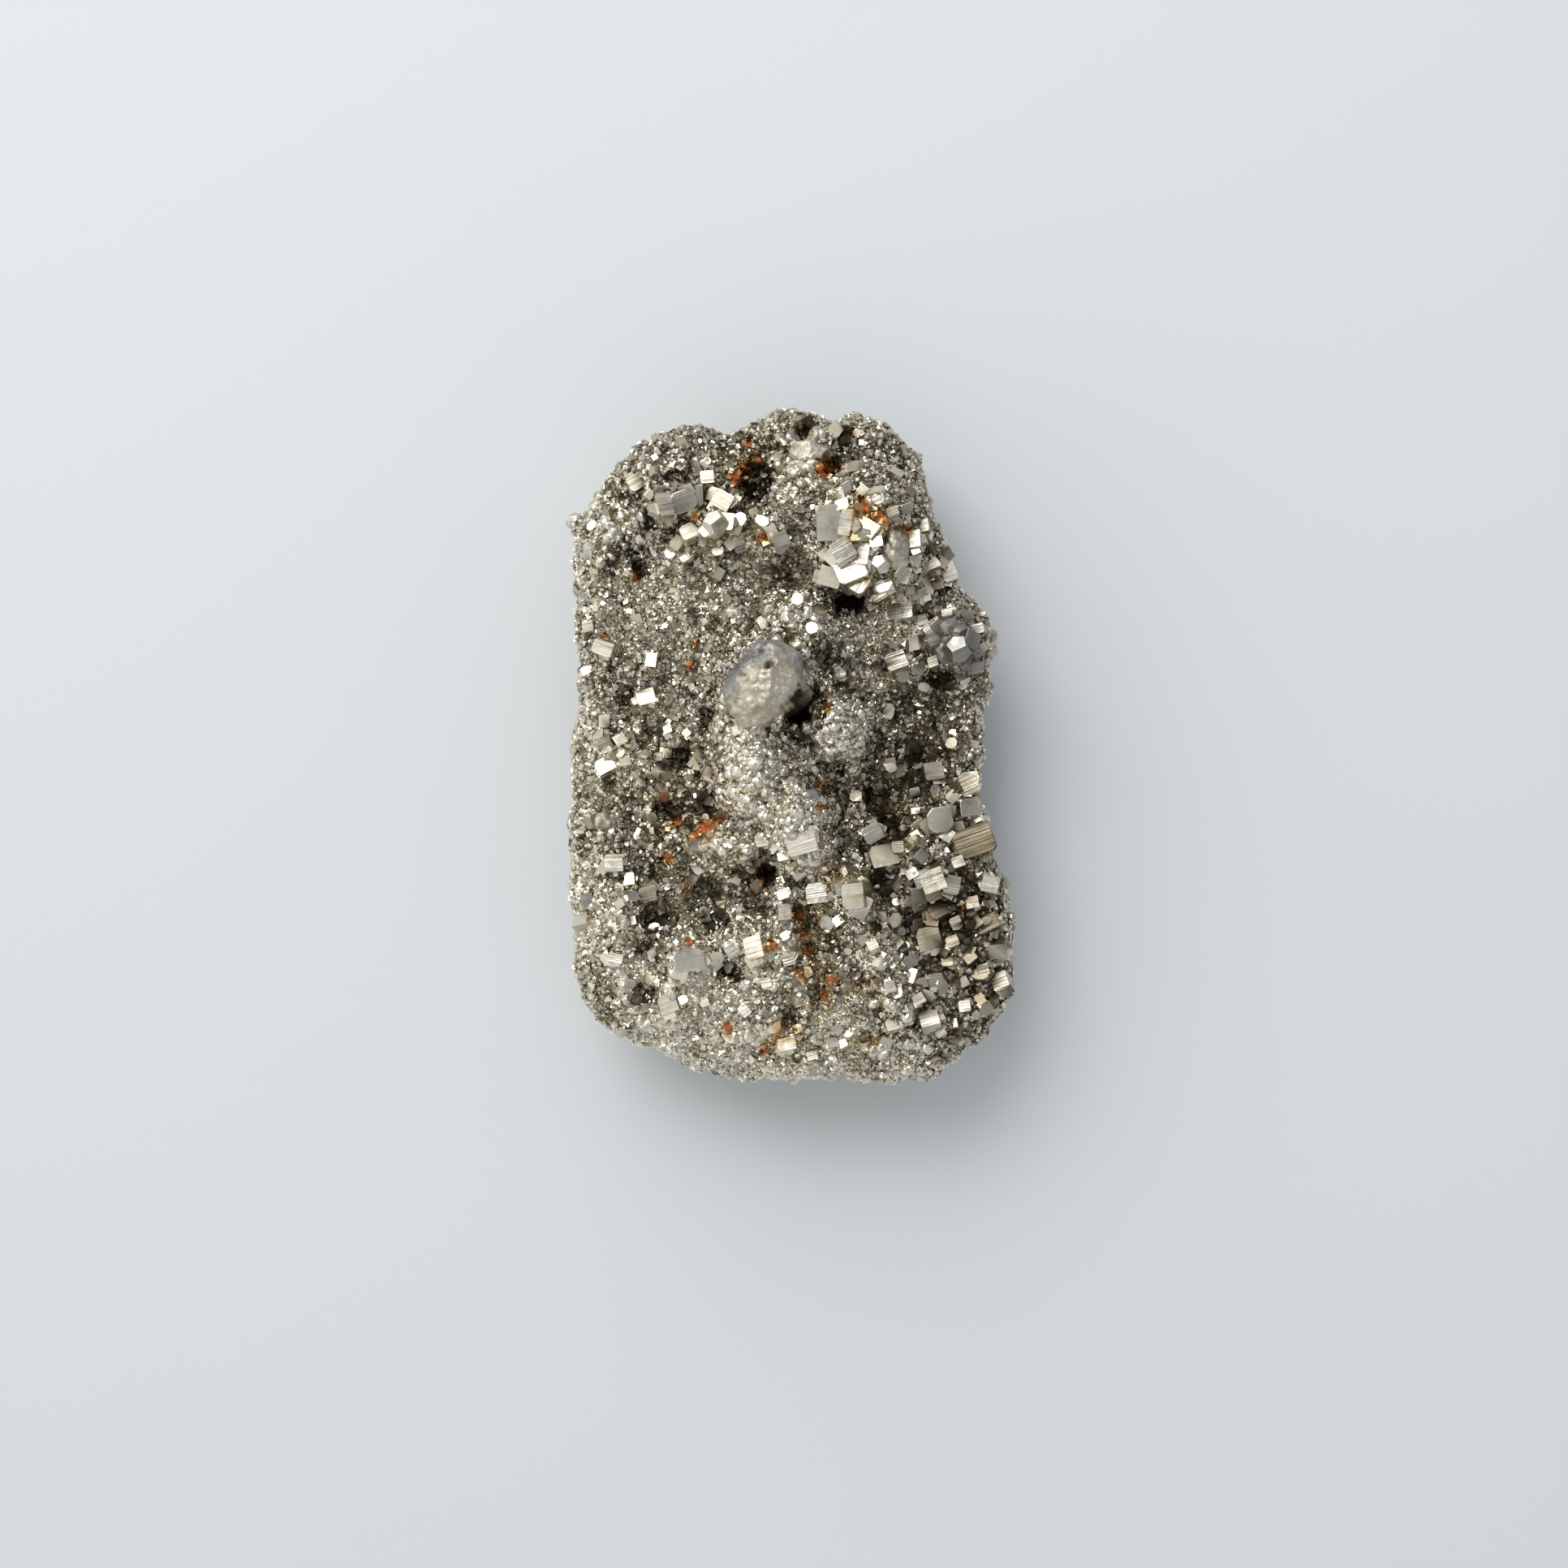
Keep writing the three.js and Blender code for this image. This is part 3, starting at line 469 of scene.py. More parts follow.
# Rounded lumps of large grown-together crystals: x, y, then length, width and height, the seed
# of their faces and how far they rise over the solid
smoothLumps = {
    "high": (-2.5, 6.5, 9.8, 9.8, 13, 21, 0.95), "upperRight": (11.7, 21.8, 4.4, 5.4, 5, 5, 0.6),
    "right": (17.6, 12.6, 2.6, 3, 2, 9, -0.1), "rightLow": (19.6, 9.2, 2.4, 2.8, 2, 24, -0.1),
    "left": (-20.8, -8.6, 2.6, 2.4, 2.4, 3, 0.2), "top": (2.2, 32.2, 4.4, 3.6, 3.4, 17, 0.2),
}
lumpShape = {
    "facets": 16, "flatness": 0.93, "shallowest": 0.92, "deepest": 0.8, "buries": 0.8,
    "tuck": 0.16,
    "waves": (1.8, 0.26, 0.5), "creases": (0.9, 0.16, 0.3), "grit": (0.35, 0.08, 0.3),
}
# The broad faces of the highest lump: which way each one looks, and how far out it lies
highFaces = [
    ((0.35, -0.12, 0.93), 0.8), ((-0.35, -0.1, 0.93), 0.8), ((-0.35, 0.62, 0.7), 0.84), ((0.45, 0.5, 0.74), 0.85),
    ((-0.8, 0.1, 0.6), 0.9), ((0.05, -0.85, 0.52), 0.82), ((0.85, 0.1, 0.5), 0.86), ((-0.6, -0.6, 0.5), 0.88),
    ((0.6, -0.6, 0.5), 0.84), ((-0.81, 0.58, 0.15), 0.76), ((0.51, -0.86, 0.15), 0.74), ((0.96, 0.29, 0.15), 0.88),
]
crystalShape = {
    "thickness": 0.85, "cover": 1.08, "bevel": 0.035, "ledgeHeight": 0.012, "tuck": 0.25,
    "ledges": (8, 0, 5, 0, 11, 3), "cutShare": 0.45, "buriedTuck": 0.6,
    "sideShade": 0.3, "stepShade": 0.12,
    "cornerCut": (0.03, 0.13), "edgeCut": (0.04, 0.13),
}
# Crystals grown into the side of a larger one
twins = {"perLarge": 2, "perSmall": 1, "size": (0.45, 0.75), "away": 0.5, "sunk": 0.1, "lean": 38, "seed": 77}

# Crystals on the walls, spread by the same rule as in the solid
wallCrystals = {
    "count": 34, "smallest": 1.8, "largest": 3, "lowest": 3, "highest": 10,
    "lean": 40, "seed": 41, "startAway": 60, "buriedFrom": 8.5,
}


def joinCopies(name, copies):
    deselectAll()
    for copy in copies:
        copy.select_set(True)
    bpy.context.view_layer.objects.active = copies[0]
    if len(copies) > 1:
        bpy.ops.object.join()
    joined = bpy.context.object
    joined.name = name
    joined.data.name = name
    return joined


def flatFaceMap(piece):
    # Lines run along X on the top and bottom, along Y on the sides, and upright on the ends
    mesh = piece.data
    layer = mesh.uv_layers.get("faceMap") or mesh.uv_layers.new(name="faceMap")
    for face in mesh.polygons:
        x, y, z = (abs(part) for part in face.normal)
        for loop in face.loop_indices:
            place = mesh.vertices[mesh.loops[loop].vertex_index].co
            if z >= x and z >= y:
                layer.data[loop].uv = (place.x, place.y)
            elif x >= y:
                layer.data[loop].uv = (place.y, place.z)
            else:
                layer.data[loop].uv = (place.z, place.x)


def cutAway(planes):
    # Each plane takes off what lies beyond it and is filled with a new flat face
    for side, reach in planes:
        bpy.ops.mesh.select_all(action="SELECT")
        bpy.ops.mesh.bisect(plane_co=side * reach, plane_no=side, use_fill=True, clear_outer=True)


def blockModel(ledges, seed):
    # A cube one unit across with some corners and edges cut, and narrow growth ledges on its top
    deselectAll()
    bpy.ops.mesh.primitive_cube_add(size=1)
    model = bpy.context.object
    picker = random.Random(seed)
    planes = []
    for corner in itertools.product((-1, 1), repeat=3):
        side = Vector([part * picker.uniform(0.6, 1.4) for part in corner]).normalized()
        depth = picker.uniform(*crystalShape["cornerCut"])
        if picker.random() < crystalShape["cutShare"]:
            planes.append((side, side.dot(Vector(corner) / 2) - depth))
    for edge in itertools.product((-1, 1), repeat=2):
        side = Vector((*edge, 0)).normalized()
        depth = picker.uniform(*crystalShape["edgeCut"])
        if picker.random() < crystalShape["cutShare"]:
            planes.append((side, side.dot(Vector((*edge, 0)) / 2) - depth))
    bpy.ops.object.mode_set(mode="EDIT")
    cutAway(planes)
    bpy.ops.object.mode_set(mode="OBJECT")
    bevel = model.modifiers.new("edges", "BEVEL")
    bevel.width = crystalShape["bevel"]
    bevel.segments = 1
    bevel.limit_method = "ANGLE"
    bevel.angle_limit = math.radians(25)
    applyModifiers(model)
    addLedges(model, ledges, picker)
    return model


def addLedges(model, ledges, picker):
    bpy.ops.object.mode_set(mode="EDIT")
    for index in range(1, ledges):
        across = -0.5 + (index + picker.uniform(-0.3, 0.3)) / ledges
        bpy.ops.mesh.select_all(action="SELECT")
        bpy.ops.mesh.bisect(plane_co=(0, across, 0), plane_no=(0, 1, 0))
    bpy.ops.mesh.select_all(action="DESELECT")
    bpy.ops.object.mode_set(mode="OBJECT")
    tops = sorted((face for face in model.data.polygons if face.normal.z > 0.98), key=lambda face: face.center.y)
    raised = [face.index for face in tops[::2]] if ledges else []
    for index in raised:
        for face in model.data.polygons:
            face.select = False
        model.data.polygons[index].select = True
        bpy.ops.object.mode_set(mode="EDIT")
        step = crystalShape["ledgeHeight"] * picker.uniform(0.5, 1.6)
        bpy.ops.mesh.extrude_region_move(TRANSFORM_OT_translate={"value": (0, 0, step)})
        bpy.ops.object.mode_set(mode="OBJECT")


# How far out the octahedron faces cut the corners of a cube, along (1, 1, 1)
cutCorner = 0.4067


def cutModel():
    # A cube with its corners cut by octahedron faces
    deselectAll()
    bpy.ops.mesh.primitive_cube_add(size=1)
    model = bpy.context.object
    bpy.ops.object.mode_set(mode="EDIT")
    cutAway([(Vector(corner), cutCorner) for corner in itertools.product((-1, 1), repeat=3)])
    bpy.ops.object.mode_set(mode="OBJECT")
    bevel = model.modifiers.new("edges", "BEVEL")
    bevel.width = 0.03
    bevel.segments = 2
    applyModifiers(model)
    return model


def roundModel():
    # Pyritohedron: a cube cut down to twelve five-sided faces
    deselectAll()
    bpy.ops.mesh.primitive_cube_add(size=1.6)
    model = bpy.context.object
    bpy.ops.object.mode_set(mode="EDIT")
    for a, b in itertools.product((-1, 1), (-2, 2)):
        cutAway([(Vector(normal).normalized(), 0.483) for normal in ((0, a, b), (a, b, 0), (b, 0, a))])
    bpy.ops.object.mode_set(mode="OBJECT")
    bevel = model.modifiers.new("edges", "BEVEL")
    bevel.width = 0.03
    bevel.segments = 2
    applyModifiers(model)
    return model


def spreadFaces(seed):
    # Directions spread evenly over a ball, each shaken a little
    picker = random.Random(seed)
    faces = []
    for index in range(lumpShape["facets"]):
        height = 1 - 2 * (index + 0.5) / lumpShape["facets"]
        around = index * 2.399963 + picker.uniform(-0.4, 0.4)
        flat = math.sqrt(1 - height * height)
        side = np.array((flat * math.cos(around), flat * math.sin(around), height))
        faces.append((side, picker.uniform(lumpShape["deepest"], lumpShape["shallowest"])))
    return faces


def lumpModel(faces, halves):
    # A ball drawn out to its size, with broad soft flats
    deselectAll()
    subdivisions = 6 if halves.x > 4 * mm else 5 if halves.x > 1.5 * mm else 4
    bpy.ops.mesh.primitive_ico_sphere_add(subdivisions=subdivisions, radius=1)
    model = bpy.context.object
    places = vertexPlaces(model)
    for side, depth in faces:
        over = places @ side - depth
        places -= np.outer(np.maximum(over, 0) * lumpShape["flatness"], side)
    model.data.vertices.foreach_set("co", (places * np.array(halves) / mm).ravel())
    model.data.update()
    bpy.ops.object.shade_smooth()
    return model


def upTo(upright):
    # The shortest turn from straight up to the crystal's upright
    return Vector((0, 0, 1)).rotation_difference(upright)


def crystalTurn(upright, turn, lean, towards):
    spin = Quaternion((0, 0, 1), math.radians(turn))
    side = math.radians(towards + 90)
    tip = Quaternion((math.cos(side), math.sin(side), 0), math.radians(lean))
    return upTo(upright) @ tip @ spin


def reachAlong(turned, halfSizes, direction):
    # How far a box reaches from its middle along a direction
    local = turned.inverted() @ direction
    return min(half / max(abs(part), 1e-9) for half, part in zip(halfSizes, local))


grownCrystals = []


def noteCrystal(middle, size, form, turned, large):
    thickness = crystalShape["thickness"] * min(size)
    halves = Vector((size[0] / 2, size[1] / 2, thickness / 2)) * mm
    blocks = len(crystalShape["ledges"])
    form = f"block{len(grownCrystals) % blocks}" if form == "cube" else form
    crystal = {"middle": middle, "halves": halves, "form": form, "turned": turned, "large": large}
    grownCrystals.append(crystal)
    return crystal


def growTwins(crystal, picker):
    # Smaller crystals that stand half in the side of this one
    for _ in range(twins["perLarge"] if crystal["large"] else twins["perSmall"]):
        around = picker.uniform(0, 2 * math.pi)
        share = picker.uniform(*twins["size"])
        side = Vector((math.cos(around), math.sin(around), 0))
        out = Vector([2 * twins["away"] * a * b for a, b in zip(side, crystal["halves"])])
        middle = crystal["middle"] + crystal["turned"] @ out
        middle.z -= twins["sunk"] * crystal["halves"].z * 2
        tip = Quaternion((-side.y, side.x, 0), math.radians(picker.uniform(-0.3, 1) * twins["lean"]))
        spin = Quaternion((0, 0, 1), picker.uniform(0, math.pi / 2))
        size = [2 * share * half / mm * picker.uniform(0.85, 1.15) for half in crystal["halves"][:2]]
        noteCrystal(middle, size, "cube", crystal["turned"] @ tip @ spin, False)


def placeSingleCrystals():
    upright = Vector((0, 0, 1))
    for large, zones in ((True, singleCrystals), (False, smallerCrystals)):
        for index, (x, y, width, length, turn, lean, form) in enumerate(itertools.chain(*zones.values())):
            aim = (Vector((x, y, camera["outlineLevel"])) + faceOrigin) * mm
            sight = (aim - eye).normalized()
            hit, normal, _, _ = rockSurface.ray_cast(eye, sight)
            if hit is None:
                continue
            towards = leanTowards + leanSpread * ((index * goldenPart) % 1 - 0.5)
            turned = crystalTurn(upright, turn, lean, towards)
            crystal = noteCrystal(hit, (width, length), form, turned, large)
            if large:
                crystal["middle"] = hit + sight * reachAlong(turned, crystal["halves"], -sight)


def steadyRandom(seed):
    state = seed
    while True:
        state = (state * 1664525 + 1013904223) % 4294967296
        yield state / 4294967296


def placeLumps():
    for name, (x, y, length, width, height, seed, rise) in smoothLumps.items():
        aim = (Vector((x, y, camera["outlineLevel"])) + faceOrigin) * mm
        sight = (aim - eye).normalized()
        hit, normal, _, _ = rockSurface.ray_cast(eye, sight)
        halves = Vector((length, width, height)) * 0.5 * mm
        middle = hit + sight * (halves.z - rise * mm)
        lump = {"middle": middle, "halves": halves, "form": seed, "turned": Quaternion(), "large": True}
        lump["faces"] = spreadFaces(seed)
        if name == "high":
            lump["faces"] = [(np.array((Vector(side) * halves).normalized()), depth) for side, depth in highFaces]
        # Single crystals inside a lump are part of it
        for crystal in grownCrystals:
            away = crystal["middle"] - middle
            if math.hypot(away.x / halves.x, away.y / halves.y) < lumpShape["buries"]:
                crystal["buried"] = True
        grownCrystals.append(lump)


def placeWallCrystals():
    draw = steadyRandom(wallCrystals["seed"])
    for index in range(wallCrystals["count"]):
        angle = 2 * math.pi * ((index * goldenPart) % 1)
        level = wallCrystals["lowest"] + next(draw) * (wallCrystals["highest"] - wallCrystals["lowest"])
        spread = wallCrystals["largest"] - wallCrystals["smallest"]
        width = wallCrystals["smallest"] + next(draw) ** 1.5 * spread
        length = width * (0.8 + 0.3 * next(draw))
        outward = Vector((math.cos(angle), math.sin(angle), 0))
        turn = 90 * next(draw)
        lean = wallCrystals["lean"] * next(draw)
        towards = 360 * next(draw)
        start = (outward * wallCrystals["startAway"] + Vector((0, 0, level)) + faceOrigin) * mm
        hit, normal, _, _ = rockSurface.ray_cast(start, -outward)
        if hit is None or level > wallCrystals["buriedFrom"]:
            continue
        turned = crystalTurn(outward, turn, lean, towards)
        crystal = noteCrystal(hit, (width, length), "cube", turned, True)
        crystal["middle"] = hit - outward * reachAlong(turned, crystal["halves"], outward)


placeSingleCrystals()
twinPicker = random.Random(twins["seed"])
for crystal in list(grownCrystals):
    growTwins(crystal, twinPicker)
placeWallCrystals()
placeLumps()
print("single crystals placed:", len(grownCrystals))


def seenAt(places):
    # Where the camera sees each point, measured at the outline's level, in millimetres
    level = camera["outlineLevel"] * mm
    part = (eye.z - level) / (eye.z - places[:, 2])
    seenX = eye.x + part * (places[:, 0] - eye.x)
    seenY = eye.y + part * (places[:, 1] - eye.y)
    return np.stack([seenX / mm - faceOrigin.x, seenY / mm - faceOrigin.y], axis=1)


def shaken(seen):
    # Three crossing waves each way, about one unit high, so that no zone has a round edge
    x, y = seen[:, 0], seen[:, 1]
    moveX = 0.5 * np.sin(1.7 * x + 2.3 * y + 1) + 0.35 * np.sin(4.1 * y - 2.9 * x) + 0.25 * np.sin(7.3 * x + 5.1 * y)
    moveY = 0.5 * np.sin(2.1 * x - 1.9 * y) + 0.35 * np.sin(3.3 * x + 3.9 * y + 4) + 0.25 * np.sin(6.1 * y - 6.7 * x)
    return np.stack([moveX, moveY], axis=1)


def zoneShare(places, zones, soft=(0.4, 1.15), ragged=0.45, mostRagged=1.1):
    seen = seenAt(places)
    shake = shaken(seen)
    share = np.zeros(len(places))
    for x, y, radius, amount in zones:
        moved = seen + shake * min(ragged * radius, mostRagged)
        away = np.hypot(moved[:, 0] - x, moved[:, 1] - y) / radius
        share = np.maximum(share, amount * (1 - smoothStep(*soft, away)))
    share[places[:, 2] < 12 * mm] = 0
    return share


# Smooth massive pyrite, bare of druse: x, y, radius, amount
massiveZones = [
    (18.4, 11.4, 3.8, 0.9), (17.4, 13.6, 2.4, 0.8), (20.2, 8.4, 2, 0.8), (11.6, 22.2, 2.6, 0.9),
    (-2.4, 6.9, 5, 1), (-8.3, 24.6, 2.2, 0.8), (-4.4, 24.8, 2, 0.7), (2, 32, 2, 0.8), (-1.5, 31, 1.6, 0.8),
    (-6.5, 14.3, 1.6, 0.8), (14, 12.5, 1.2, 0.8), (-13, 19.8, 1.2, 0.7), (13.3, 7.4, 1.6, 0.7),
]
# Bluish grey parts of the massive pyrite: x, y, radius, amount
greyZones = [
    (-8, 4.5, 1.2, 1), (-7, 6.5, 1.3, 1), (-6, 8.3, 1.3, 1), (-4.6, 9.8, 1.3, 1), (-3, 10.6, 1.3, 1),
    (-1.2, 10.6, 1.1, 1), (0.6, 9.6, 1.1, 0.9), (1.4, 8, 1, 0.7), (-2.4, 9.2, 1, 0.8), (12.9, 21.6, 1.3, 0.7),
    (18.6, 12, 3, 0.8), (17.5, 9.5, 2.4, 0.8), (20, 10, 2.4, 0.8), (-12.3, 26.6, 1.6, 0.8), (13.4, 15, 1, 0.8), (4.2, 24.6, 1.8, 0.8),
    (1, 5.6, 1.4, 0.5),
]
# Pits and cracks, nearly black: painted shade in them, with dark tarnish: x, y, radius, amount
darkPits = [
    (1.2, 4.2, 1.7, 1), (0.9, 1.4, 1.1, 0.7), (2.6, -0.2, 0.7, 0.8), (13.6, -0.6, 1, 0.6), (14.2, -3.2, 1.2, 0.7),
    (14.6, -5.6, 0.8, 0.33), (5.8, 15.9, 1.1, 1), (7.4, 15.8, 1.1, 1), (10.6, -8.2, 0.9, 0.5), (12, -9.4, 0.9, 0.5),
    (-4.4, 28.2, 0.9, 0.8), (-3, 27.8, 0.9, 0.55), (-4.6, 30, 0.8, 0.39), (-2.6, -14.2, 0.8, 1),
    (-4.2, -13.4, 0.8, 1), (20.7, -24.6, 0.9, 0.5), (17.9, -18.4, 0.9, 0.5), (10.2, 8.7, 0.8, 1),
    (17, 7, 1, 0.9), (8.5, -3.3, 0.7, 0.5), (19.4, -23, 0.7, 0.44), (18.3, -7.6, 0.7, 0.44),
    (10, -15.1, 0.7, 0.5), (8.8, -6.2, 0.7, 0.44), (10.3, 4, 0.7, 0.44), (-17.1, 19.8, 0.8, 0.55),
    (-16.2, 21.4, 0.7, 0.55), (-16.9, 23.2, 0.6, 0.55), (-16.2, 24.6, 0.6, 0.5), (12.5, -14.2, 0.7, 0.44),
    (11.6, -2.9, 0.7, 0.39), (-6.7, -25.3, 0.7, 1), (1.5, 34.6, 0.6, 0.44), (-10, -0.4, 0.5, 0.44),
    (16.9, -17, 0.6, 0.44), (-2.3, 19.5, 0.6, 0.55), (-0.2, 18.8, 0.6, 0.55), (5.9, 6.2, 0.5, 0.44),
    (3.9, 30.8, 0.7, 0.44), (12.6, 23.8, 0.6, 0.44), (1.6, -22.5, 0.6, 0.39),
]


# The mass between the crystals, worked up from a copy of the solid
mass = {
    "voxel": 0.42, "pullIn": 0.12, "calmMargin": 1.12,
    "clumps": (3.2, 0.9, 0.32), "knobs": (1.3, 0.5, 0.3), "lumps": (2.0, 0.35, 0.5),
}


def lumpReach(lump, local):
    # 1 on the lump's surface and less inside it, for places in half sizes from its middle
    reached = np.linalg.norm(local, axis=1)
    for side, depth in lump["faces"]:
        reached = np.maximum(reached, local @ side / (depth + (1 - depth) * (1 - lumpShape["flatness"])))
    return reached


def insideCrystals(places, margin):
    inside = np.zeros(len(places), dtype=bool)
    for crystal in grownCrystals:
        if "buried" in crystal:
            continue
        middle = np.array(crystal["middle"])
        reach = crystal["halves"].length * margin
        near = np.where(np.sum((places - middle) ** 2, axis=1) < reach * reach)[0]
        if len(near) == 0:
            continue
        axes = np.array(crystal["turned"].to_matrix())
        local = (places[near] - middle) @ axes / np.array(crystal["halves"])
        rounded = isinstance(crystal["form"], int)
        reached = lumpReach(crystal, local) if rounded else np.max(np.abs(local), axis=1)
        inside[near[reached < (0.97 if rounded else margin)]] = True
    return inside


def makeMass():
    deselectAll()
    piece = rockNode.copy()
    piece.data = rockNode.data.copy()
    piece.parent = None
    piece.matrix_world = Matrix.Identity(4)
    for key in list(piece.keys()):
        del piece[key]
    bpy.context.collection.objects.link(piece)
    piece.name = "pyriteMass"
    piece.data.name = "pyriteMass"
    piece.data.materials.clear()
    pick(piece)
    bpy.ops.object.mode_set(mode="EDIT")
    bpy.ops.mesh.select_all(action="SELECT")
    bpy.ops.mesh.remove_doubles(threshold=1e-6)
    bpy.ops.object.mode_set(mode="OBJECT")
    remesh = piece.modifiers.new("evenSkin", "REMESH")
    remesh.mode = "VOXEL"
    remesh.voxel_size = mass["voxel"] * mm
    remesh.use_smooth_shade = True
    applyModifiers(piece)
    return piece


def lumpTexture(name, size, kind):
    texture = bpy.data.textures.new(name, kind)
    texture.noise_scale = size * mm
    return texture


def tuckUnder(places):
    # The solid's own crystals shrink a little, so that they hide inside the finer ones
    for crystal in grownCrystals:
        if not crystal["large"]:
            continue
        middle, halves = np.array(crystal["middle"]), np.array(crystal["halves"])
        near = np.where(np.sum((places - middle) ** 2, axis=1) < (1.3 * np.linalg.norm(halves)) ** 2)[0]
        axes = np.array(crystal["turned"].to_matrix())
        local = (places[near] - middle) @ axes / halves
        if isinstance(crystal["form"], int):
            # What stands over the lump goes down into it
            inPlan = 1 - smoothStep(0.88, 1.0, lumpReach(crystal, local * (1, 1, 0)))
            pull = inPlan * (1 - np.minimum(1, (1 - lumpShape["tuck"]) / lumpReach(crystal, local)))
        else:
            tuck = crystalShape["buriedTuck"] if "buried" in crystal else crystalShape["tuck"]
            pull = tuck * (1 - smoothStep(1.0, 1.25, np.max(np.abs(local), axis=1)))
        places[near] = middle + (local * (1 - pull[:, None]) * halves) @ axes.T
    return places


def roughenMass(piece):
    places = tuckUnder(vertexPlaces(piece))
    piece.data.vertices.foreach_set("co", places.ravel())
    calm = insideCrystals(places, mass["calmMargin"])
    onBase = places[:, 2] < 0.35 * mm
    free = (1 - np.maximum(calm, onBase)) * (1 - 0.85 * zoneShare(places, massiveZones))
    group = piece.vertex_groups.new(name="free")
    for index in np.where(free > 0)[0]:
        group.add([int(index)], float(free[index]), "REPLACE")
    for name, kind, way in (("clumps", "VORONOI", -1), ("knobs", "VORONOI", -1), ("lumps", "CLOUDS", 1)):
        size, height, level = mass[name]
        swell = piece.modifiers.new(name, "DISPLACE")
        swell.texture = lumpTexture(name, size, kind)
        swell.texture_coords = "LOCAL"
        swell.strength = way * height * mm
        swell.mid_level = level
        swell.vertex_group = "free"
    applyModifiers(piece)
    piece.vertex_groups.clear()
    # The base stays on the floor and nothing goes through it
    places = vertexPlaces(piece)
    places[:, 2] = np.maximum(places[:, 2], 0)
    places -= vertexNormals(piece) * (mass["pullIn"] * mm * (places[:, 2] > 1 * mm))[:, None]
    piece.data.vertices.foreach_set("co", places.ravel())
    piece.data.update()


pyriteMass = makeMass()
roughenMass(pyriteMass)
pyriteMass.data.materials.append(massFinish)
print("mass made:", len(pyriteMass.data.polygons), "faces")


# Where the coarser crystals stand: x, y, radius, share
coarseZones = [
    (17, -10, 8, 0.8), (16, -19, 8, 0.85), (16, -27, 7, 0.7), (7, 24, 6, 0.8), (10, 20, 5, 0.7),
    (15, 18, 6, 0.7), (-10, 26, 6, 0.6), (-5, 23, 5, 0.5), (14, 10, 6, 0.45), (0, -28, 6, 0.35),
    (-17, -18, 5, 0.3), (8, -17, 5, 0.5), (-18, -1, 5, 0.35), (-3, 20, 4, 0.3), (0, -12, 4, 0.4),
    (-9.3, -16, 2.6, 1.2), (-8, -19, 2.4, 1.2), (-15.2, -19.6, 2.4, 1.2), (-12, -1.5, 2.6, 1.2), (-9.5, -6.8, 2, 1.2),
    (-14, -7.2, 2.4, 1.2), (9, -6, 2.6, 1.2), (-16.3, -27.5, 2.4, 1.2), (-3.4, 29, 2.6, 1.2), (5.6, 34.4, 2, 1.2),
    (-4, -13.8, 2, 1), (-0.5, -30.5, 2, 1), (13.5, -3, 3, 0.9),
]
# Pale massive pyrite with rounded knobs: x, y, radius, share
knobZones = [
    (-4.5, 0, 4.5, 1), (-4, -4.5, 4.5, 1), (0, -7, 4, 1), (5, 2, 4, 1), (6, -2, 3, 0.8), (-6, 3, 3.5, 0.9),
    (1, 13.5, 4, 0.6), (18.5, 10.5, 4, 0.9), (-2, -24, 4, 0.9), (-9.5, -25, 4, 0.5), (-21.5, -22, 4, 0.15),
    (-15, -30, 5, 0.25), (-5, -31, 4, 0.5), (8, -25, 4, 0.5), (11, -32, 5, 0.4), (-22, -10, 3, 0.3),
    (1.5, -11.5, 3, 0.8), (2.5, 31.5, 3.5, 0.7), (10, 24, 4, 0.6), (-20, 24, 5, 0.5), (-8, -12, 3, 0.6),
]
# Pale parts of the face: partly paler pyrite, partly painted light that lifts valleys lying in shadow: x, y, radius,
# amount
paleAndLitZones = [
    (-4, -3, 6.5, 1), (-2, -8, 6, 1), (0, -9, 5, 1), (5, 2, 4.5, 0.85), (-2.4, 7, 5, 0.5), (1, 14, 5, 0.35),
    (2.5, 31.5, 3, 0.5), (8, 22, 7, 0.4), (14, 17, 5, 0.2), (18.5, 11, 4.5, 0.2), (-9, 25, 6, 0.35),
    (3, -16, 6, 1.2), (9, -25, 6, 0.5), (0, -24, 5, 0.9), (-9, -25, 6, 1.2), (-12, -31, 8, 1.2),
    (3, -33, 8, 1.1), (-22, -20, 6, 0.9), (-10, -12, 4, 0.4), (-20, 22, 7, 0.45), (-14, 13, 8, 0.65),
    (-23, 2, 5, 0.5), (-22, -3, 4, 0.5), (-6, 14, 6, 0.35), (-9, 19, 4, 0.3), (-13.5, 18.5, 4, 1),
    (11, 13.5, 4, 1.5), (7, 12.5, 3.5, 1.2), (6.5, 8.5, 3, 0.9), (-18, -1.5, 3.5, 1.2), (-17.5, -26, 4, 1.2),
    (-17.5, 23.5, 3, 1.2), (-4.5, 4, 3, 0.6), (-7, -28, 4, 0.8), (-13.5, -16.5, 3, 0.9), (-5, -34, 4, 1.3),
    (-4, -26, 3.5, 0.8), (12, -35, 4, 1.1), (-3.5, 18.5, 4, 0.8), (2, -1, 3, 1.3), (-23, -13, 3, 0.9),
    (11, 8.5, 4, 0.9), (1.7, 23, 3, 1.1), (1.5, 28, 3, 0.6), (-8.5, -17, 3, 0.6), (0, -37, 7, 1.4), (11.6, -16.5, 2.5, 0.6),
    (-12, 29, 4, 0.2), (-6.5, 31, 2, 0.2), (-13, 3.5, 3.5, 1), (11, 4, 3, 0.6), (-6, 18, 5, 0.9), (1.5, 19, 3, 0.7),
    (-18, 18.5, 3, 0.7), (-9, -16.5, 5, 1), (0, -15, 4, 0.8), (12, -15, 3, 0.6), (13, 1, 3, 0.5),
]
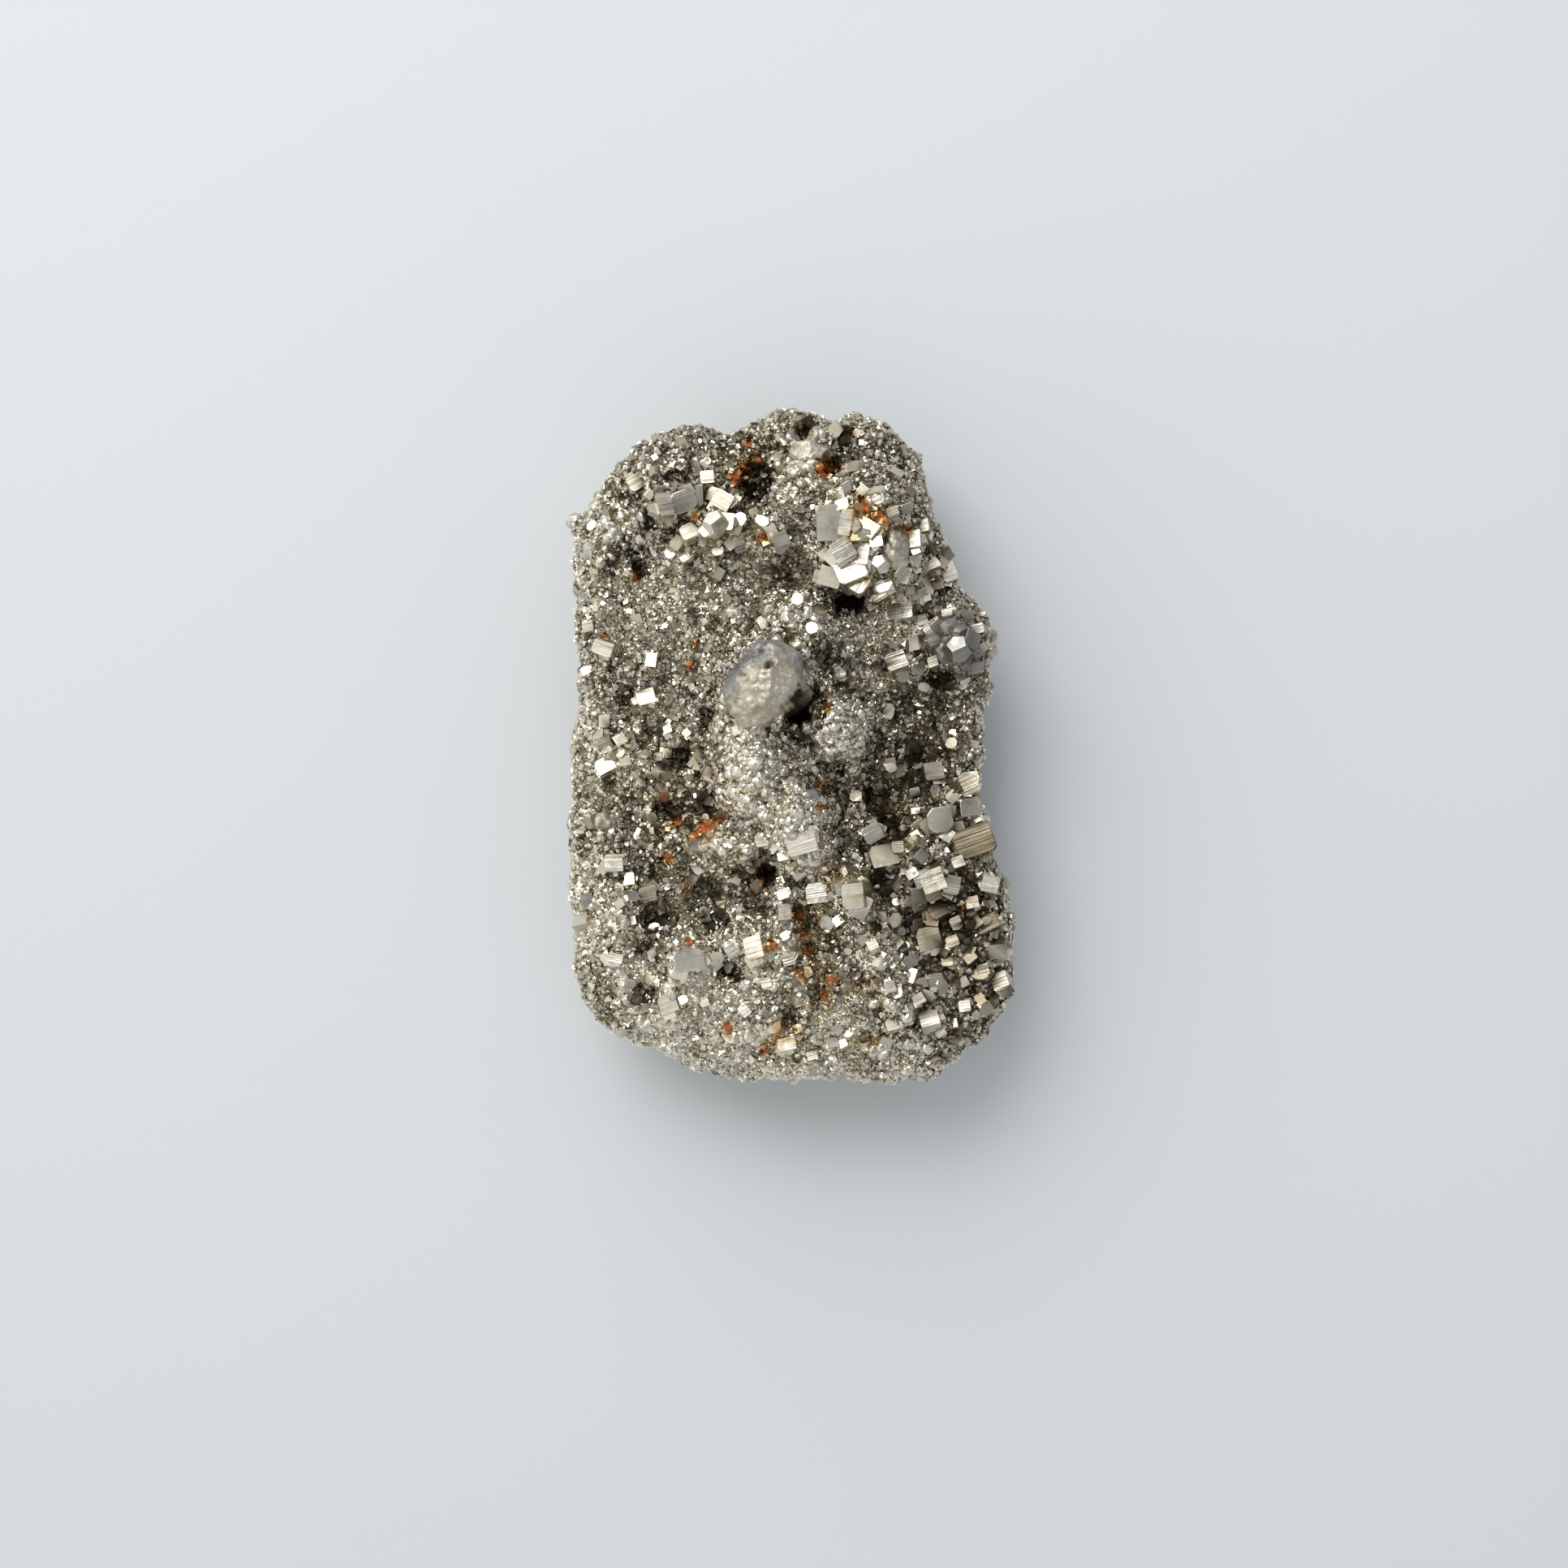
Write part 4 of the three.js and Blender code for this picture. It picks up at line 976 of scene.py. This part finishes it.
# Valleys whose floors are duller, and other darker places: partly dull tarnish, partly painted shade: x, y, radius,
# amount
dullAndShadedZones = [
    (14, 4, 5, 0.1), (14, -2, 5, 0.15), (10, -5.5, 3, 0.2), (10.8, -9, 2.5, 0.15), (-14, -7, 4.5, 0.25),
    (-10, -3, 4.5, 0.2), (-9.5, 3, 3.5, 0.2), (-3.5, -14.5, 2.4, 0.3), (-9, -17, 4, 0.1),
    (-8, -20, 3, 0.15), (-15, -19.5, 2.5, 0.15), (-3.5, 29.5, 3, 0.2), (1.4, 2.8, 2.2, 0.7),
    (2.2, 0.2, 1.5, 0.3), (6.5, 15.9, 1.9, 0.7), (3.8, 30.5, 1.6, 0.4), (-16.6, 22.5, 1.4, 0.2),
    (-17, 18.5, 1.2, 0.3), (-6, 33.5, 4, 0.15), (12, 31, 5, 0.2), (17, 24.5, 3.6, 0.5), (20, 14, 4, 0.35),
    (21.6, 8, 3, 0.35), (2, -24, 2.4, 0.25), (1.5, -20, 2, 0.3), (-0.5, -31, 1.8, 0.3), (-6.5, -25, 1.4, 0.6),
    (-16.3, -27.5, 2.2, 0.25), (-16.5, -23, 1.5, 0.3), (9.8, -15, 2, 0.25), (22, -25, 4, 0.35), (16.7, 7.3, 2, 0.2),
    (22.6, -12, 3.5, 0.7), (22, 12, 2.5, 0.5), (14, -19, 5, 0.15), (22, -31, 5, 0.4), (-22, 31, 4, 0.2),
    (16.5, -16, 5, 0.6), (-14, 29, 7, 0.3), (21, 11, 4, 0.5), (11.5, -11.5, 3, 0.5), (22, -27, 4, 0.5), (17, -31, 3, 0.4), (12.5, 24, 3, 0.5), (16.5, 13.5, 3, 0.5),
    (19, 10.5, 3.5, 0.4), (18.3, 11, 1.6, 0.9), (-2.4, 7, 4.5, 0.3), (-9, -1.5, 3, 0.8), (-8, 28, 3, 0.4),
    (20.4, -10.8, 3, 0.2), (17, -8, 3, 0.5), (19, -6, 3, 0.3), (22.5, -19, 3, 0.4), (16.5, -15.5, 3, 0.3),
]


def smoothedPlaces(piece, rounds):
    # Each round moves every point to the mean of its neighbours
    mesh = piece.data
    edges = np.empty(len(mesh.edges) * 2, dtype=np.int64)
    mesh.edges.foreach_get("vertices", edges)
    first, second = edges[::2], edges[1::2]
    places = vertexPlaces(piece)
    count = np.bincount(first, minlength=len(places)) + np.bincount(second, minlength=len(places))
    for _ in range(rounds):
        total = np.empty_like(places)
        for axis in range(3):
            total[:, axis] = np.bincount(first, places[second, axis], len(places))
            total[:, axis] += np.bincount(second, places[first, axis], len(places))
        places = total / count[:, None]
    return places


def hollowness(piece, rounds):
    # How far each point lies below the smoothed surface, in millimetres
    below = smoothedPlaces(piece, rounds) - vertexPlaces(piece)
    return np.sum(below * vertexNormals(piece), axis=1) / mm


# Where the druse starts above the floor, in millimetres
foot = {"fineFrom": 0.3, "coarseFrom": 1.8}
massPlaces = vertexPlaces(pyriteMass)
massNormals = vertexNormals(pyriteMass)
covered = insideCrystals(massPlaces, 1.02)
lowDown = massPlaces[:, 2] < foot["fineFrom"] * mm
faceward = smoothStep(-0.2, 0.5, massNormals[:, 2])
massCoarse = zoneShare(massPlaces, coarseZones)
massKnobs = zoneShare(massPlaces, knobZones)
# Painted shade: the mass darkens in its creases and hollows
crevice = smoothStep(0.02, 0.3, hollowness(pyriteMass, 6))
hollow = smoothStep(-0.1, 0.8, hollowness(pyriteMass, 60))
massShade = np.clip(0.65 * crevice + 0.55 * hollow, 0, 1)
massMassive = zoneShare(massPlaces, massiveZones, soft=(0.7, 1.05))
massPits = zoneShare(massPlaces, darkPits, soft=(0.6, 1.4))
bare = covered | lowDown
storeValue(pyriteMass, "massive", massMassive)
storeValue(pyriteMass, "grey", massMassive * zoneShare(massPlaces, greyZones))
high = massPlaces[:, 2] > foot["coarseFrom"] * mm
offRim = np.maximum(smoothStep(0.25, 0.55, massNormals[:, 2]), massPlaces[:, 2] < 9 * mm)
coarseShare = (0.1 + massCoarse) * (1 - massMassive) * offRim
storeValue(pyriteMass, "coarseShare", np.where(bare | ~high, 0, coarseShare))
storeValue(pyriteMass, "knobShare", np.where(bare | ~high, 0, massKnobs * (1 - massMassive)))
fineShare = (0.6 + 0.4 * faceward) * (1 - 0.7 * massKnobs) * (1 - 0.93 * massMassive) * (1 - 0.4 * massPits)
storeValue(pyriteMass, "fineShare", np.where(bare, 0, fineShare))
print("face zones read")


# Druse: small crystals scattered on the mass, each one a real mesh
def plainCube():
    deselectAll()
    bpy.ops.mesh.primitive_cube_add(size=1)
    shape = bpy.context.object
    shape.name = "grainCube"
    return shape


def plainPyramid():
    deselectAll()
    bpy.ops.mesh.primitive_cone_add(vertices=4, radius1=0.66, depth=0.95)
    shape = bpy.context.object
    shape.name = "grainPyramid"
    return shape


def plainOctahedron():
    deselectAll()
    bpy.ops.mesh.primitive_uv_sphere_add(segments=4, ring_count=2, radius=0.68)
    shape = bpy.context.object
    shape.name = "grainOctahedron"
    return shape


def cutCube():
    deselectAll()
    bpy.ops.mesh.primitive_cube_add(size=1)
    shape = bpy.context.object
    bpy.ops.object.mode_set(mode="EDIT")
    cutAway([(Vector(corner), cutCorner) for corner in itertools.product((-1, 1), repeat=3)])
    bpy.ops.object.mode_set(mode="OBJECT")
    shape.name = "grainCut"
    return shape


def roundKnob():
    deselectAll()
    bpy.ops.mesh.primitive_ico_sphere_add(subdivisions=2, radius=0.5)
    shape = bpy.context.object
    bpy.ops.object.shade_smooth()
    shape.name = "grainKnob"
    return shape


def scatterTree(name, shapes, settings):
    # Points on the mass by a stored share, a crystal on each, then made real
    tree = bpy.data.node_groups.new(name, "GeometryNodeTree")
    tree.interface.new_socket("Geometry", in_out="INPUT", socket_type="NodeSocketGeometry")
    tree.interface.new_socket("Geometry", in_out="OUTPUT", socket_type="NodeSocketGeometry")

    def add(kind, **values):
        node = tree.nodes.new(kind)
        for key, value in values.items():
            setattr(node, key, value)
        return node

    def link(source, target):
        tree.links.new(source, target)

    def randomValue(kind, low, high, seed):
        node = add("FunctionNodeRandomValue", data_type=kind)
        minimum, maximum = [socket for socket in node.inputs if socket.enabled and socket.name in ("Min", "Max")]
        minimum.default_value = low
        maximum.default_value = high
        node.inputs["Seed"].default_value = seed
        return [socket for socket in node.outputs if socket.enabled][0]

    source = add("NodeGroupInput")
    target = add("NodeGroupOutput")
    share = add("GeometryNodeInputNamedAttribute", data_type="FLOAT")
    share.inputs["Name"].default_value = settings["share"]
    scatter = add("GeometryNodeDistributePointsOnFaces", distribute_method="POISSON")
    scatter.inputs["Distance Min"].default_value = settings["apart"] * mm
    scatter.inputs["Density Max"].default_value = settings["density"]
    scatter.inputs["Seed"].default_value = settings["seed"]
    link(source.outputs[0], scatter.inputs["Mesh"])
    link(share.outputs["Attribute"], scatter.inputs["Density Factor"])

    gather = add("GeometryNodeGeometryToInstance")
    for shape in reversed(shapes):
        info = add("GeometryNodeObjectInfo")
        info.inputs["Object"].default_value = shape
        link(info.outputs["Geometry"], gather.inputs[0])

    place = add("GeometryNodeInstanceOnPoints")
    place.inputs["Pick Instance"].default_value = True
    link(scatter.outputs["Points"], place.inputs["Points"])
    link(gather.outputs[0], place.inputs["Instance"])
    link(randomValue("INT", 0, len(shapes) - 1, settings["seed"] + 1), place.inputs["Instance Index"])

    # Crystals lean away from the surface normal by a random amount
    lean = settings["lean"]
    spin = add("FunctionNodeRotateRotation", rotation_space="LOCAL")
    euler = add("FunctionNodeEulerToRotation")
    link(randomValue("FLOAT_VECTOR", (-lean, -lean, -3.2), (lean, lean, 3.2), settings["seed"] + 2), euler.inputs[0])
    link(scatter.outputs["Rotation"], spin.inputs[0])
    link(euler.outputs[0], spin.inputs[1])
    link(spin.outputs[0], place.inputs["Rotation"])

    # More small ones than large ones
    size = add("ShaderNodeMath", operation="POWER")
    link(randomValue("FLOAT", 0.0, 1.0, settings["seed"] + 3), size.inputs[0])
    size.inputs[1].default_value = settings["skew"]
    scale = add("ShaderNodeMapRange")
    link(size.outputs[0], scale.inputs["Value"])
    scale.inputs["To Min"].default_value = settings["small"] * mm
    scale.inputs["To Max"].default_value = settings["large"] * mm
    stretch = add("ShaderNodeVectorMath", operation="SCALE")
    link(randomValue("FLOAT_VECTOR", (0.8, 0.8, 0.7), (1.25, 1.25, 1.1), settings["seed"] + 4), stretch.inputs[0])
    link(scale.outputs["Result"], stretch.inputs["Scale"])
    link(stretch.outputs["Vector"], place.inputs["Scale"])

    tone = add("GeometryNodeStoreNamedAttribute", data_type="FLOAT", domain="INSTANCE")
    tone.inputs["Name"].default_value = "tone"
    link(place.outputs["Instances"], tone.inputs["Geometry"])
    toneRange = randomValue("FLOAT", settings["tone"][0], settings["tone"][1], settings["seed"] + 5)
    link(toneRange, [s for s in tone.inputs if s.name == "Value" and s.enabled][0])
    real = add("GeometryNodeRealizeInstances")
    link(tone.outputs["Geometry"], real.inputs["Geometry"])
    link(real.outputs["Geometry"], target.inputs[0])
    return tree


def growDruse(name, shapes, settings, finish, keep):
    # keep says which part of the mass this piece grows on
    carrier = pyriteMass.copy()
    carrier.data = pyriteMass.data.copy()
    bpy.context.collection.objects.link(carrier)
    carrier.name = name
    carrier.data.name = name
    layer = carrier.data.attributes[settings["share"]]
    values = np.empty(len(carrier.data.vertices), dtype=np.float32)
    layer.data.foreach_get("value", values)
    values[~keep] = 0
    layer.data.foreach_set("value", values)
    scatter = carrier.modifiers.new("scatter", "NODES")
    scatter.node_group = scatterTree(name, shapes, settings)
    applyModifiers(carrier)
    carrier.data.materials.clear()
    carrier.data.materials.append(finish)
    for face in carrier.data.polygons:
        face.material_index = 0
    print("druse", name, len(carrier.data.polygons), "faces")
    return carrier


def liftToFloor(piece):
    # Whole cubes of the druse move up until none dips under the floor
    corners = vertexPlaces(piece).reshape(-1, 8, 3)
    lowest = corners[:, :, 2].min(axis=1)
    corners[:, :, 2] += np.maximum(0.02 * mm - lowest, 0)[:, None]
    piece.data.vertices.foreach_set("co", corners.ravel())
    piece.data.update()


fineDruse = {
    "share": "fineShare", "apart": 0.16, "density": 22e6, "seed": 11, "lean": 3.2, "skew": 2.0,
    "small": 0.2, "large": 0.66, "tone": (0.1, 1.2),
}
wallDruse = dict(fineDruse, apart=0.34, density=5.2e6, seed=61, small=0.4, large=0.85)
coarseDruse = {
    "share": "coarseShare", "apart": 0.55, "density": 1.4e6, "seed": 31, "lean": 0.9, "skew": 2.0,
    "small": 0.6, "large": 1.5, "tone": (0.1, 0.95),
}
knobDruse = {
    "share": "knobShare", "apart": 0.42, "density": 2.8e6, "seed": 91, "lean": 1.2, "skew": 1.6,
    "small": 0.6, "large": 1.8, "tone": (0.5, 1.0),
}

grainCube = plainCube()
grainOctahedron = plainOctahedron()
grainCut = cutCube()
grainPyramid = plainPyramid()
fineShapes = [grainOctahedron, grainCube, grainPyramid, grainPyramid]
grainKnob = roundKnob()
onFace = (massNormals[:, 2] > -0.05) & (massPlaces[:, 2] > 14 * mm)
druse = []
strips = [(-60, -22), (-22, -9), (-9, 4), (4, 18), (18, 60)]
for index, (low, top) in enumerate(strips):
    inStrip = (massPlaces[:, 1] >= low * mm) & (massPlaces[:, 1] < top * mm)
    settings = dict(fineDruse, seed=fineDruse["seed"] + 7 * index)
    druse.append(growDruse(f"fineDruse{index + 1}", fineShapes, settings, druseFinish, onFace & inStrip))
druse.append(growDruse("wallDruse", [grainCube], wallDruse, druseFinish, ~onFace))
liftToFloor(druse[-1])
druse.append(growDruse("coarseDruse", [grainCube, grainCut], coarseDruse, crystalFinish, ~bare))
druse.append(growDruse("knobDruse", [grainKnob], knobDruse, massFinish, ~bare))
for shape in (grainCube, grainOctahedron, grainPyramid, grainCut, grainKnob):
    bpy.data.objects.remove(shape)


# The single crystals, each with its own copy of the model's mesh
def shadeFaces(piece, picker):
    # Painted shade: each side of a crystal gets its own random tone, and so does each growth step on it, in place of
    # the faces' differing reflections
    sides = [picker.uniform(-crystalShape["sideShade"], crystalShape["sideShade"]) for _ in range(6)]
    layer = piece.data.attributes.new("shade", "FLOAT", "FACE")
    for face, value in zip(piece.data.polygons, layer.data):
        normal = face.normal
        axis = max(range(3), key=lambda index: abs(normal[index]))
        step = picker.uniform(-crystalShape["stepShade"], crystalShape["stepShade"])
        value.value = sides[2 * axis + (normal[axis] > 0)] + step


def makeCrystals():
    models = {"cut": cutModel(), "round": roundModel()}
    for index, ledges in enumerate(crystalShape["ledges"]):
        models[f"block{index}"] = blockModel(ledges, 5 + index)
    picker = random.Random(8)
    made = {"striated": [], "smooth": [], "lump": []}
    for crystal in grownCrystals:
        if "buried" in crystal:
            continue
        form = crystal["form"]
        lump = isinstance(form, int)
        if lump:
            copy = lumpModel(crystal["faces"], crystal["halves"])
        else:
            copy = models[form].copy()
            copy.data = models[form].data.copy()
            bpy.context.collection.objects.link(copy)
            scale = crystal["halves"] * 2 * crystalShape["cover"]
            copy.data.transform(Matrix.Diagonal((*(scale / mm), 1)))
            flatFaceMap(copy)
            shadeFaces(copy, picker)
            shift = picker.uniform(0, 40)
            for loop in copy.data.uv_layers["faceMap"].data:
                loop.uv = (loop.uv[0] + shift, loop.uv[1] + shift)
        turned = crystal["turned"].to_matrix().to_4x4()
        copy.data.transform(Matrix.Translation(crystal["middle"]) @ turned @ Matrix.Scale(mm, 4))
        tone = 0.5 if lump else picker.uniform(0.35, 0.95)
        storeValue(copy, "tone", np.full(len(copy.data.vertices), tone))
        ledged = form in [f"block{n}" for n, ledges in enumerate(crystalShape["ledges"]) if ledges]
        made["lump" if lump else "striated" if ledged else "smooth"].append(copy)
    for model in models.values():
        bpy.data.objects.remove(model)
    pieces = []
    for name, finish in (("striated", striatedFinish), ("smooth", crystalFinish), ("lump", lumpFinish)):
        piece = joinCopies(f"{name}Crystals", made[name])
        piece.data.materials.clear()
        piece.data.materials.append(finish)
        for face in piece.data.polygons:
            face.material_index = 0
        pieces.append(piece)
    return pieces


# Where small knobs cover the lumps: x, y, radius, amount
lumpKnobs = [
    (-4.4, 7.2, 1.5, 1), (-4.2, 5, 1.6, 1), (-5, 3.4, 1.4, 1), (-1.2, 9.8, 0.8, 0.8), (17.2, 9, 1, 0.4),
    (19.8, 12.6, 1.2, 0.4), (10.4, 22.6, 1.6, 0.9), (1.4, 33, 1.8, 0.6), (2.4, 31, 1.4, 0.5),
    (-20.8, -8.6, 1.2, 0.6),
]
# Single knobs of a column on the highest lump, and a notch above it: x, y, radius, height
lumpSpots = [
    (-2.2, 8.1, 0.35, 0.25), (-2.3, 7.5, 0.42, 0.3), (-2.2, 6.9, 0.4, 0.3), (-2.4, 6.2, 0.5, 0.32),
    (-2.3, 5.5, 0.42, 0.28), (-1.6, 6, 0.35, 0.2), (-1.5, 9.3, 0.42, 0.3), (-2.5, 8.95, 0.55, -0.55),
    (-2, 9, 0.35, -0.4), (-5.4, 7.8, 0.5, -0.25), (20.3, 9.3, 0.25, -0.15), (20.5, 10.7, 0.25, -0.2),
    (16.8, 12.2, 0.2, -0.12), (18.8, 8.2, 0.25, -0.15),
]
lumpKnobShape = {"perArea": 10, "smallest": 0.2, "largest": 0.48, "height": 0.6, "seed": 12}
# Low steps across the foot of the column
lumpSteps = {"zones": [(-1.7, 4.5, 1, 1), (-2.6, 4.6, 0.8, 1)], "apart": 0.3, "height": 0.07}


def knobSpots():
    picker = random.Random(lumpKnobShape["seed"])
    spots = []
    for x, y, radius, amount in lumpKnobs:
        for _ in range(round(lumpKnobShape["perArea"] * radius * radius)):
            around = picker.uniform(0, 2 * math.pi)
            out = radius * math.sqrt(picker.random())
            size = picker.uniform(lumpKnobShape["smallest"], lumpKnobShape["largest"])
            height = amount * size * lumpKnobShape["height"]
            spots.append((x + out * math.cos(around), y + out * math.sin(around), size, height))
    return spots + lumpSpots


def roughenLumps(piece):
    # Low waves and creases all over, then knobs and dents where the photo shows them
    piece.vertex_groups.clear()
    for name, kind, way in (("waves", "CLOUDS", 1), ("creases", "VORONOI", -1), ("grit", "VORONOI", -1)):
        size, height, level = lumpShape[name]
        swell = piece.modifiers.new(name, "DISPLACE")
        swell.texture = lumpTexture(name, size, kind)
        swell.texture_coords = "LOCAL"
        swell.strength = way * height * mm
        swell.mid_level = level
    applyModifiers(piece)
    places = vertexPlaces(piece)
    normals = vertexNormals(piece)
    seen = seenAt(places)
    raised = np.zeros(len(places))
    dented = np.zeros(len(places))
    for x, y, radius, height in knobSpots():
        away = np.hypot(seen[:, 0] - x, seen[:, 1] - y) / radius
        rise = abs(height) * np.sqrt(np.maximum(1 - away * away, 0))
        if height > 0:
            raised = np.maximum(raised, rise)
        else:
            dented = np.maximum(dented, rise)
    steps = lumpSteps["height"] * np.sign(np.sin(2 * np.pi * seen[:, 1] / lumpSteps["apart"]))
    steps = steps * zoneShare(places, lumpSteps["zones"], soft=(0.8, 1.0))
    places += normals * ((raised - dented + steps) * mm)[:, None]
    piece.data.vertices.foreach_set("co", places.ravel())
    piece.data.update()
    knobby = smoothStep(0.02, 0.15, raised + 2 * np.abs(steps))
    storeValue(piece, "grey", zoneShare(places, greyZones) * (1 - 0.6 * knobby))
    storeValue(piece, "tone", 0.4 + 0.18 * knobby)
    storeValue(piece, "dent", dented)


crystals = makeCrystals()
roughenLumps(crystals[-1])
print("single crystals made")


# Iron stains and deep shade, stored at the points of every piece: x, y, radius in millimetres
rustSpots = [
    (-4.7, 33.2, 0.6), (-3.8, 31.8, 0.6), (-5, 30.7, 0.6), (-5.8, 29.6, 1), (-10.8, 25.1, 0.6),
    (-17.1, 18.6, 0.6), (-0.2, 18.6, 0.5), (7.8, 26.2, 1), (10, 25.3, 0.7), (10.6, 24.8, 0.5),
    (13, 23.9, 0.5), (4, 30.7, 1.1), (-3.2, 22.9, 0.5), (-20.5, 11.9, 0.5), (-10.4, 11.1, 0.4),
    (-11.1, 8.7, 0.5), (3.5, -4.5, 0.5), (3.4, -7, 0.5), (-9.2, -3.4, 0.5),
    (-7.9, -8.3, 0.5), (-9.3, -9.3, 1), (-12.6, -8.6, 0.5), (-13.5, -9.5, 0.5), (-10.5, -10, 0.7),
    (-13.5, -12.6, 0.7), (-3.3, -15, 0.6), (-4, -16.4, 0.4), (-11.4, -15.8, 0.4), (-11.1, -22.1, 0.5),
    (-1.9, -22.3, 0.6), (6, -13.9, 0.4), (2.6, -16.4, 0.4), (6.4, -16.5, 0.4), (1, -18.9, 0.6),
    (1.2, -21.5, 0.4), (2, -22.9, 0.6), (1.1, -25.7, 0.6), (3.5, -28.1, 0.5), (4.5, -26, 0.8),
    (-7, -31.5, 0.6), (-2.7, -33.8, 0.7), (-1.5, -32.6, 0.5), (11, -31, 0.4), (19, -18.2, 0.4),
]


# Wide faint ochre tints: x, y, radius, amount
tintZones = [
    (2, -20, 2.5, 0.3), (2.4, -24.5, 3, 0.32), (4, -28, 2.4, 0.28), (-0.5, -32, 3, 0.34), (9, 25.6, 3, 0.32),
    (12, 24, 2, 0.24), (-4.6, 30.6, 2.4, 0.24), (4.2, 31, 2, 0.26), (3.9, 4.1, 1, 0.5), (4.6, -15, 2.4, 0.24),
    (-3.4, -14, 2.4, 0.22), (-7, 24.4, 2, 0.2), (-2.6, 22.8, 1.6, 0.22), (-10, -9.6, 3, 0.2), (8.4, -27, 2.4, 0.2),
    (6.8, 22.8, 1.4, 0.24), (9, 18.6, 1, 0.22), (-6, -13, 2, 0.2), (8, -33, 3, 0.2),
]


def stain(piece):
    places = vertexPlaces(piece)
    spots = [(x, y, radius, 1) for x, y, radius in rustSpots]
    tints = zoneShare(places, tintZones, soft=(0.3, 1.2))
    storeValue(piece, "rust", np.maximum(zoneShare(places, spots, soft=(0.3, 1.5)), tints))


def readValue(piece, name):
    values = np.empty(len(piece.data.vertices), dtype=np.float32)
    piece.data.attributes[name].data.foreach_get("value", values)
    return values.astype(float)


def massTree():
    mesh = pyriteMass.data
    corners = [vertex.co for vertex in mesh.vertices]
    return BVHTree.FromPolygons(corners, [tuple(face.vertices) for face in mesh.polygons])


massSurface = massTree()
faceFirstCorner = np.array([face.vertices[0] for face in pyriteMass.data.polygons])


def heightOverMass(piece):
    # How high each point stands over the mass, in millimetres, and the mass's point next to it
    places = vertexPlaces(piece)
    heights = np.zeros(len(places))
    nearest = np.zeros(len(places), dtype=int)
    for index, place in enumerate(places.tolist()):
        hit, normal, face, _ = massSurface.find_nearest(place)
        heights[index] = (place[0] - hit.x) * normal.x + (place[1] - hit.y) * normal.y + (place[2] - hit.z) * normal.z
        nearest[index] = face
    return heights / mm, faceFirstCorner[nearest]


# Painted shade with dust and tarnish: darkest between the grains and at the feet of the crystals
paintedShadeAndDust = {
    "rootDepth": (-0.05, 0.23), "rootShade": 0.88, "hollowShade": 0.46, "dullShade": 0.42, "paleAndLitLift": 0.4,
    "pitShade": 0.75, "brightGrainsSpared": 0.7,
}


def paintShadeAndTarnish(piece, rootShade, rootHigh):
    heights, nearest = heightOverMass(piece)
    places = vertexPlaces(piece)
    # Pale zones: partly paler pyrite, partly painted light
    pale = zoneShare(places, paleAndLitZones)
    dullAndShaded = zoneShare(places, dullAndShadedZones)
    # Painted shade at the feet of crystals and between grains, fading with height over the mass
    roots = 1 - smoothStep(paintedShadeAndDust["rootDepth"][0], rootHigh, heights)
    hollows = massShade[nearest]
    tone = readValue(piece, "tone")
    deep = paintedShadeAndDust["hollowShade"] * hollows * (1 - 0.4 * pale) + paintedShadeAndDust["dullShade"] * dullAndShaded
    deep += paintedShadeAndDust["pitShade"] * zoneShare(places, darkPits, soft=(0.6, 1.4))
    # The brightest grains get less of the painted shade and tarnish, also in the valleys
    deep *= 1 - paintedShadeAndDust["brightGrainsSpared"] * smoothStep(0.75, 1.0, tone)
    shadeAndTarnish = rootShade * roots * (1 - 0.6 * pale) + deep
    # Painted shade in the dents of the lumps
    if "dent" in piece.data.attributes:
        shadeAndTarnish += 1.6 * readValue(piece, "dent")
    storeValue(piece, "shadeAndTarnish", np.clip(shadeAndTarnish, 0, 0.96))
    # Painted light lifts the tone in the pale zones; painted shade lowers it in the dull zones and hollows
    tone = tone + paintedShadeAndDust["paleAndLitLift"] * pale - 0.3 * dullAndShaded - 0.15 * hollows
    if "Crystals" in piece.name and "grey" not in piece.data.attributes:
        storeValue(piece, "grey", zoneShare(places, greyZones))
    storeValue(piece, "tone", np.clip(tone, 0, 1))


for piece in [pyriteMass, *druse, *crystals]:
    stain(piece)
massPaleAndLit = zoneShare(massPlaces, paleAndLitZones)
massDullAndShaded = zoneShare(massPlaces, dullAndShadedZones)
# Tone lifted by painted light in the pale zones, lowered by painted shade in the dull zones
storeValue(pyriteMass, "tone", np.clip(0.35 + 0.35 * massPaleAndLit - 0.2 * massDullAndShaded, 0, 1))
# Painted shade with tarnish under the druse, more in creases, hollows, dull zones and pits, less in the pale zones
druseShadeAndTarnish = 0.6 - 0.35 * massPaleAndLit + 0.4 * massShade + 0.5 * massDullAndShaded
massShadeAndTarnish = druseShadeAndTarnish * (1 - massMassive) + 0.15 * massMassive + massPits
storeValue(pyriteMass, "shadeAndTarnish", np.clip(massShadeAndTarnish, 0, 0.97))
for piece in druse:
    knobs = piece.name.startswith("knob")
    paintShadeAndTarnish(piece, 0.5 if knobs else paintedShadeAndDust["rootShade"], paintedShadeAndDust["rootDepth"][1])
for piece in crystals:
    paintShadeAndTarnish(piece, 0.3 if piece.name.startswith("lump") else 0.6, 0.6)
print("stains, dust and tarnish stored")


# Hand over
for piece in [pyriteMass, *druse, *crystals]:
    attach(piece, "root")
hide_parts("pyrite_cluster")

print("pieces handed over")
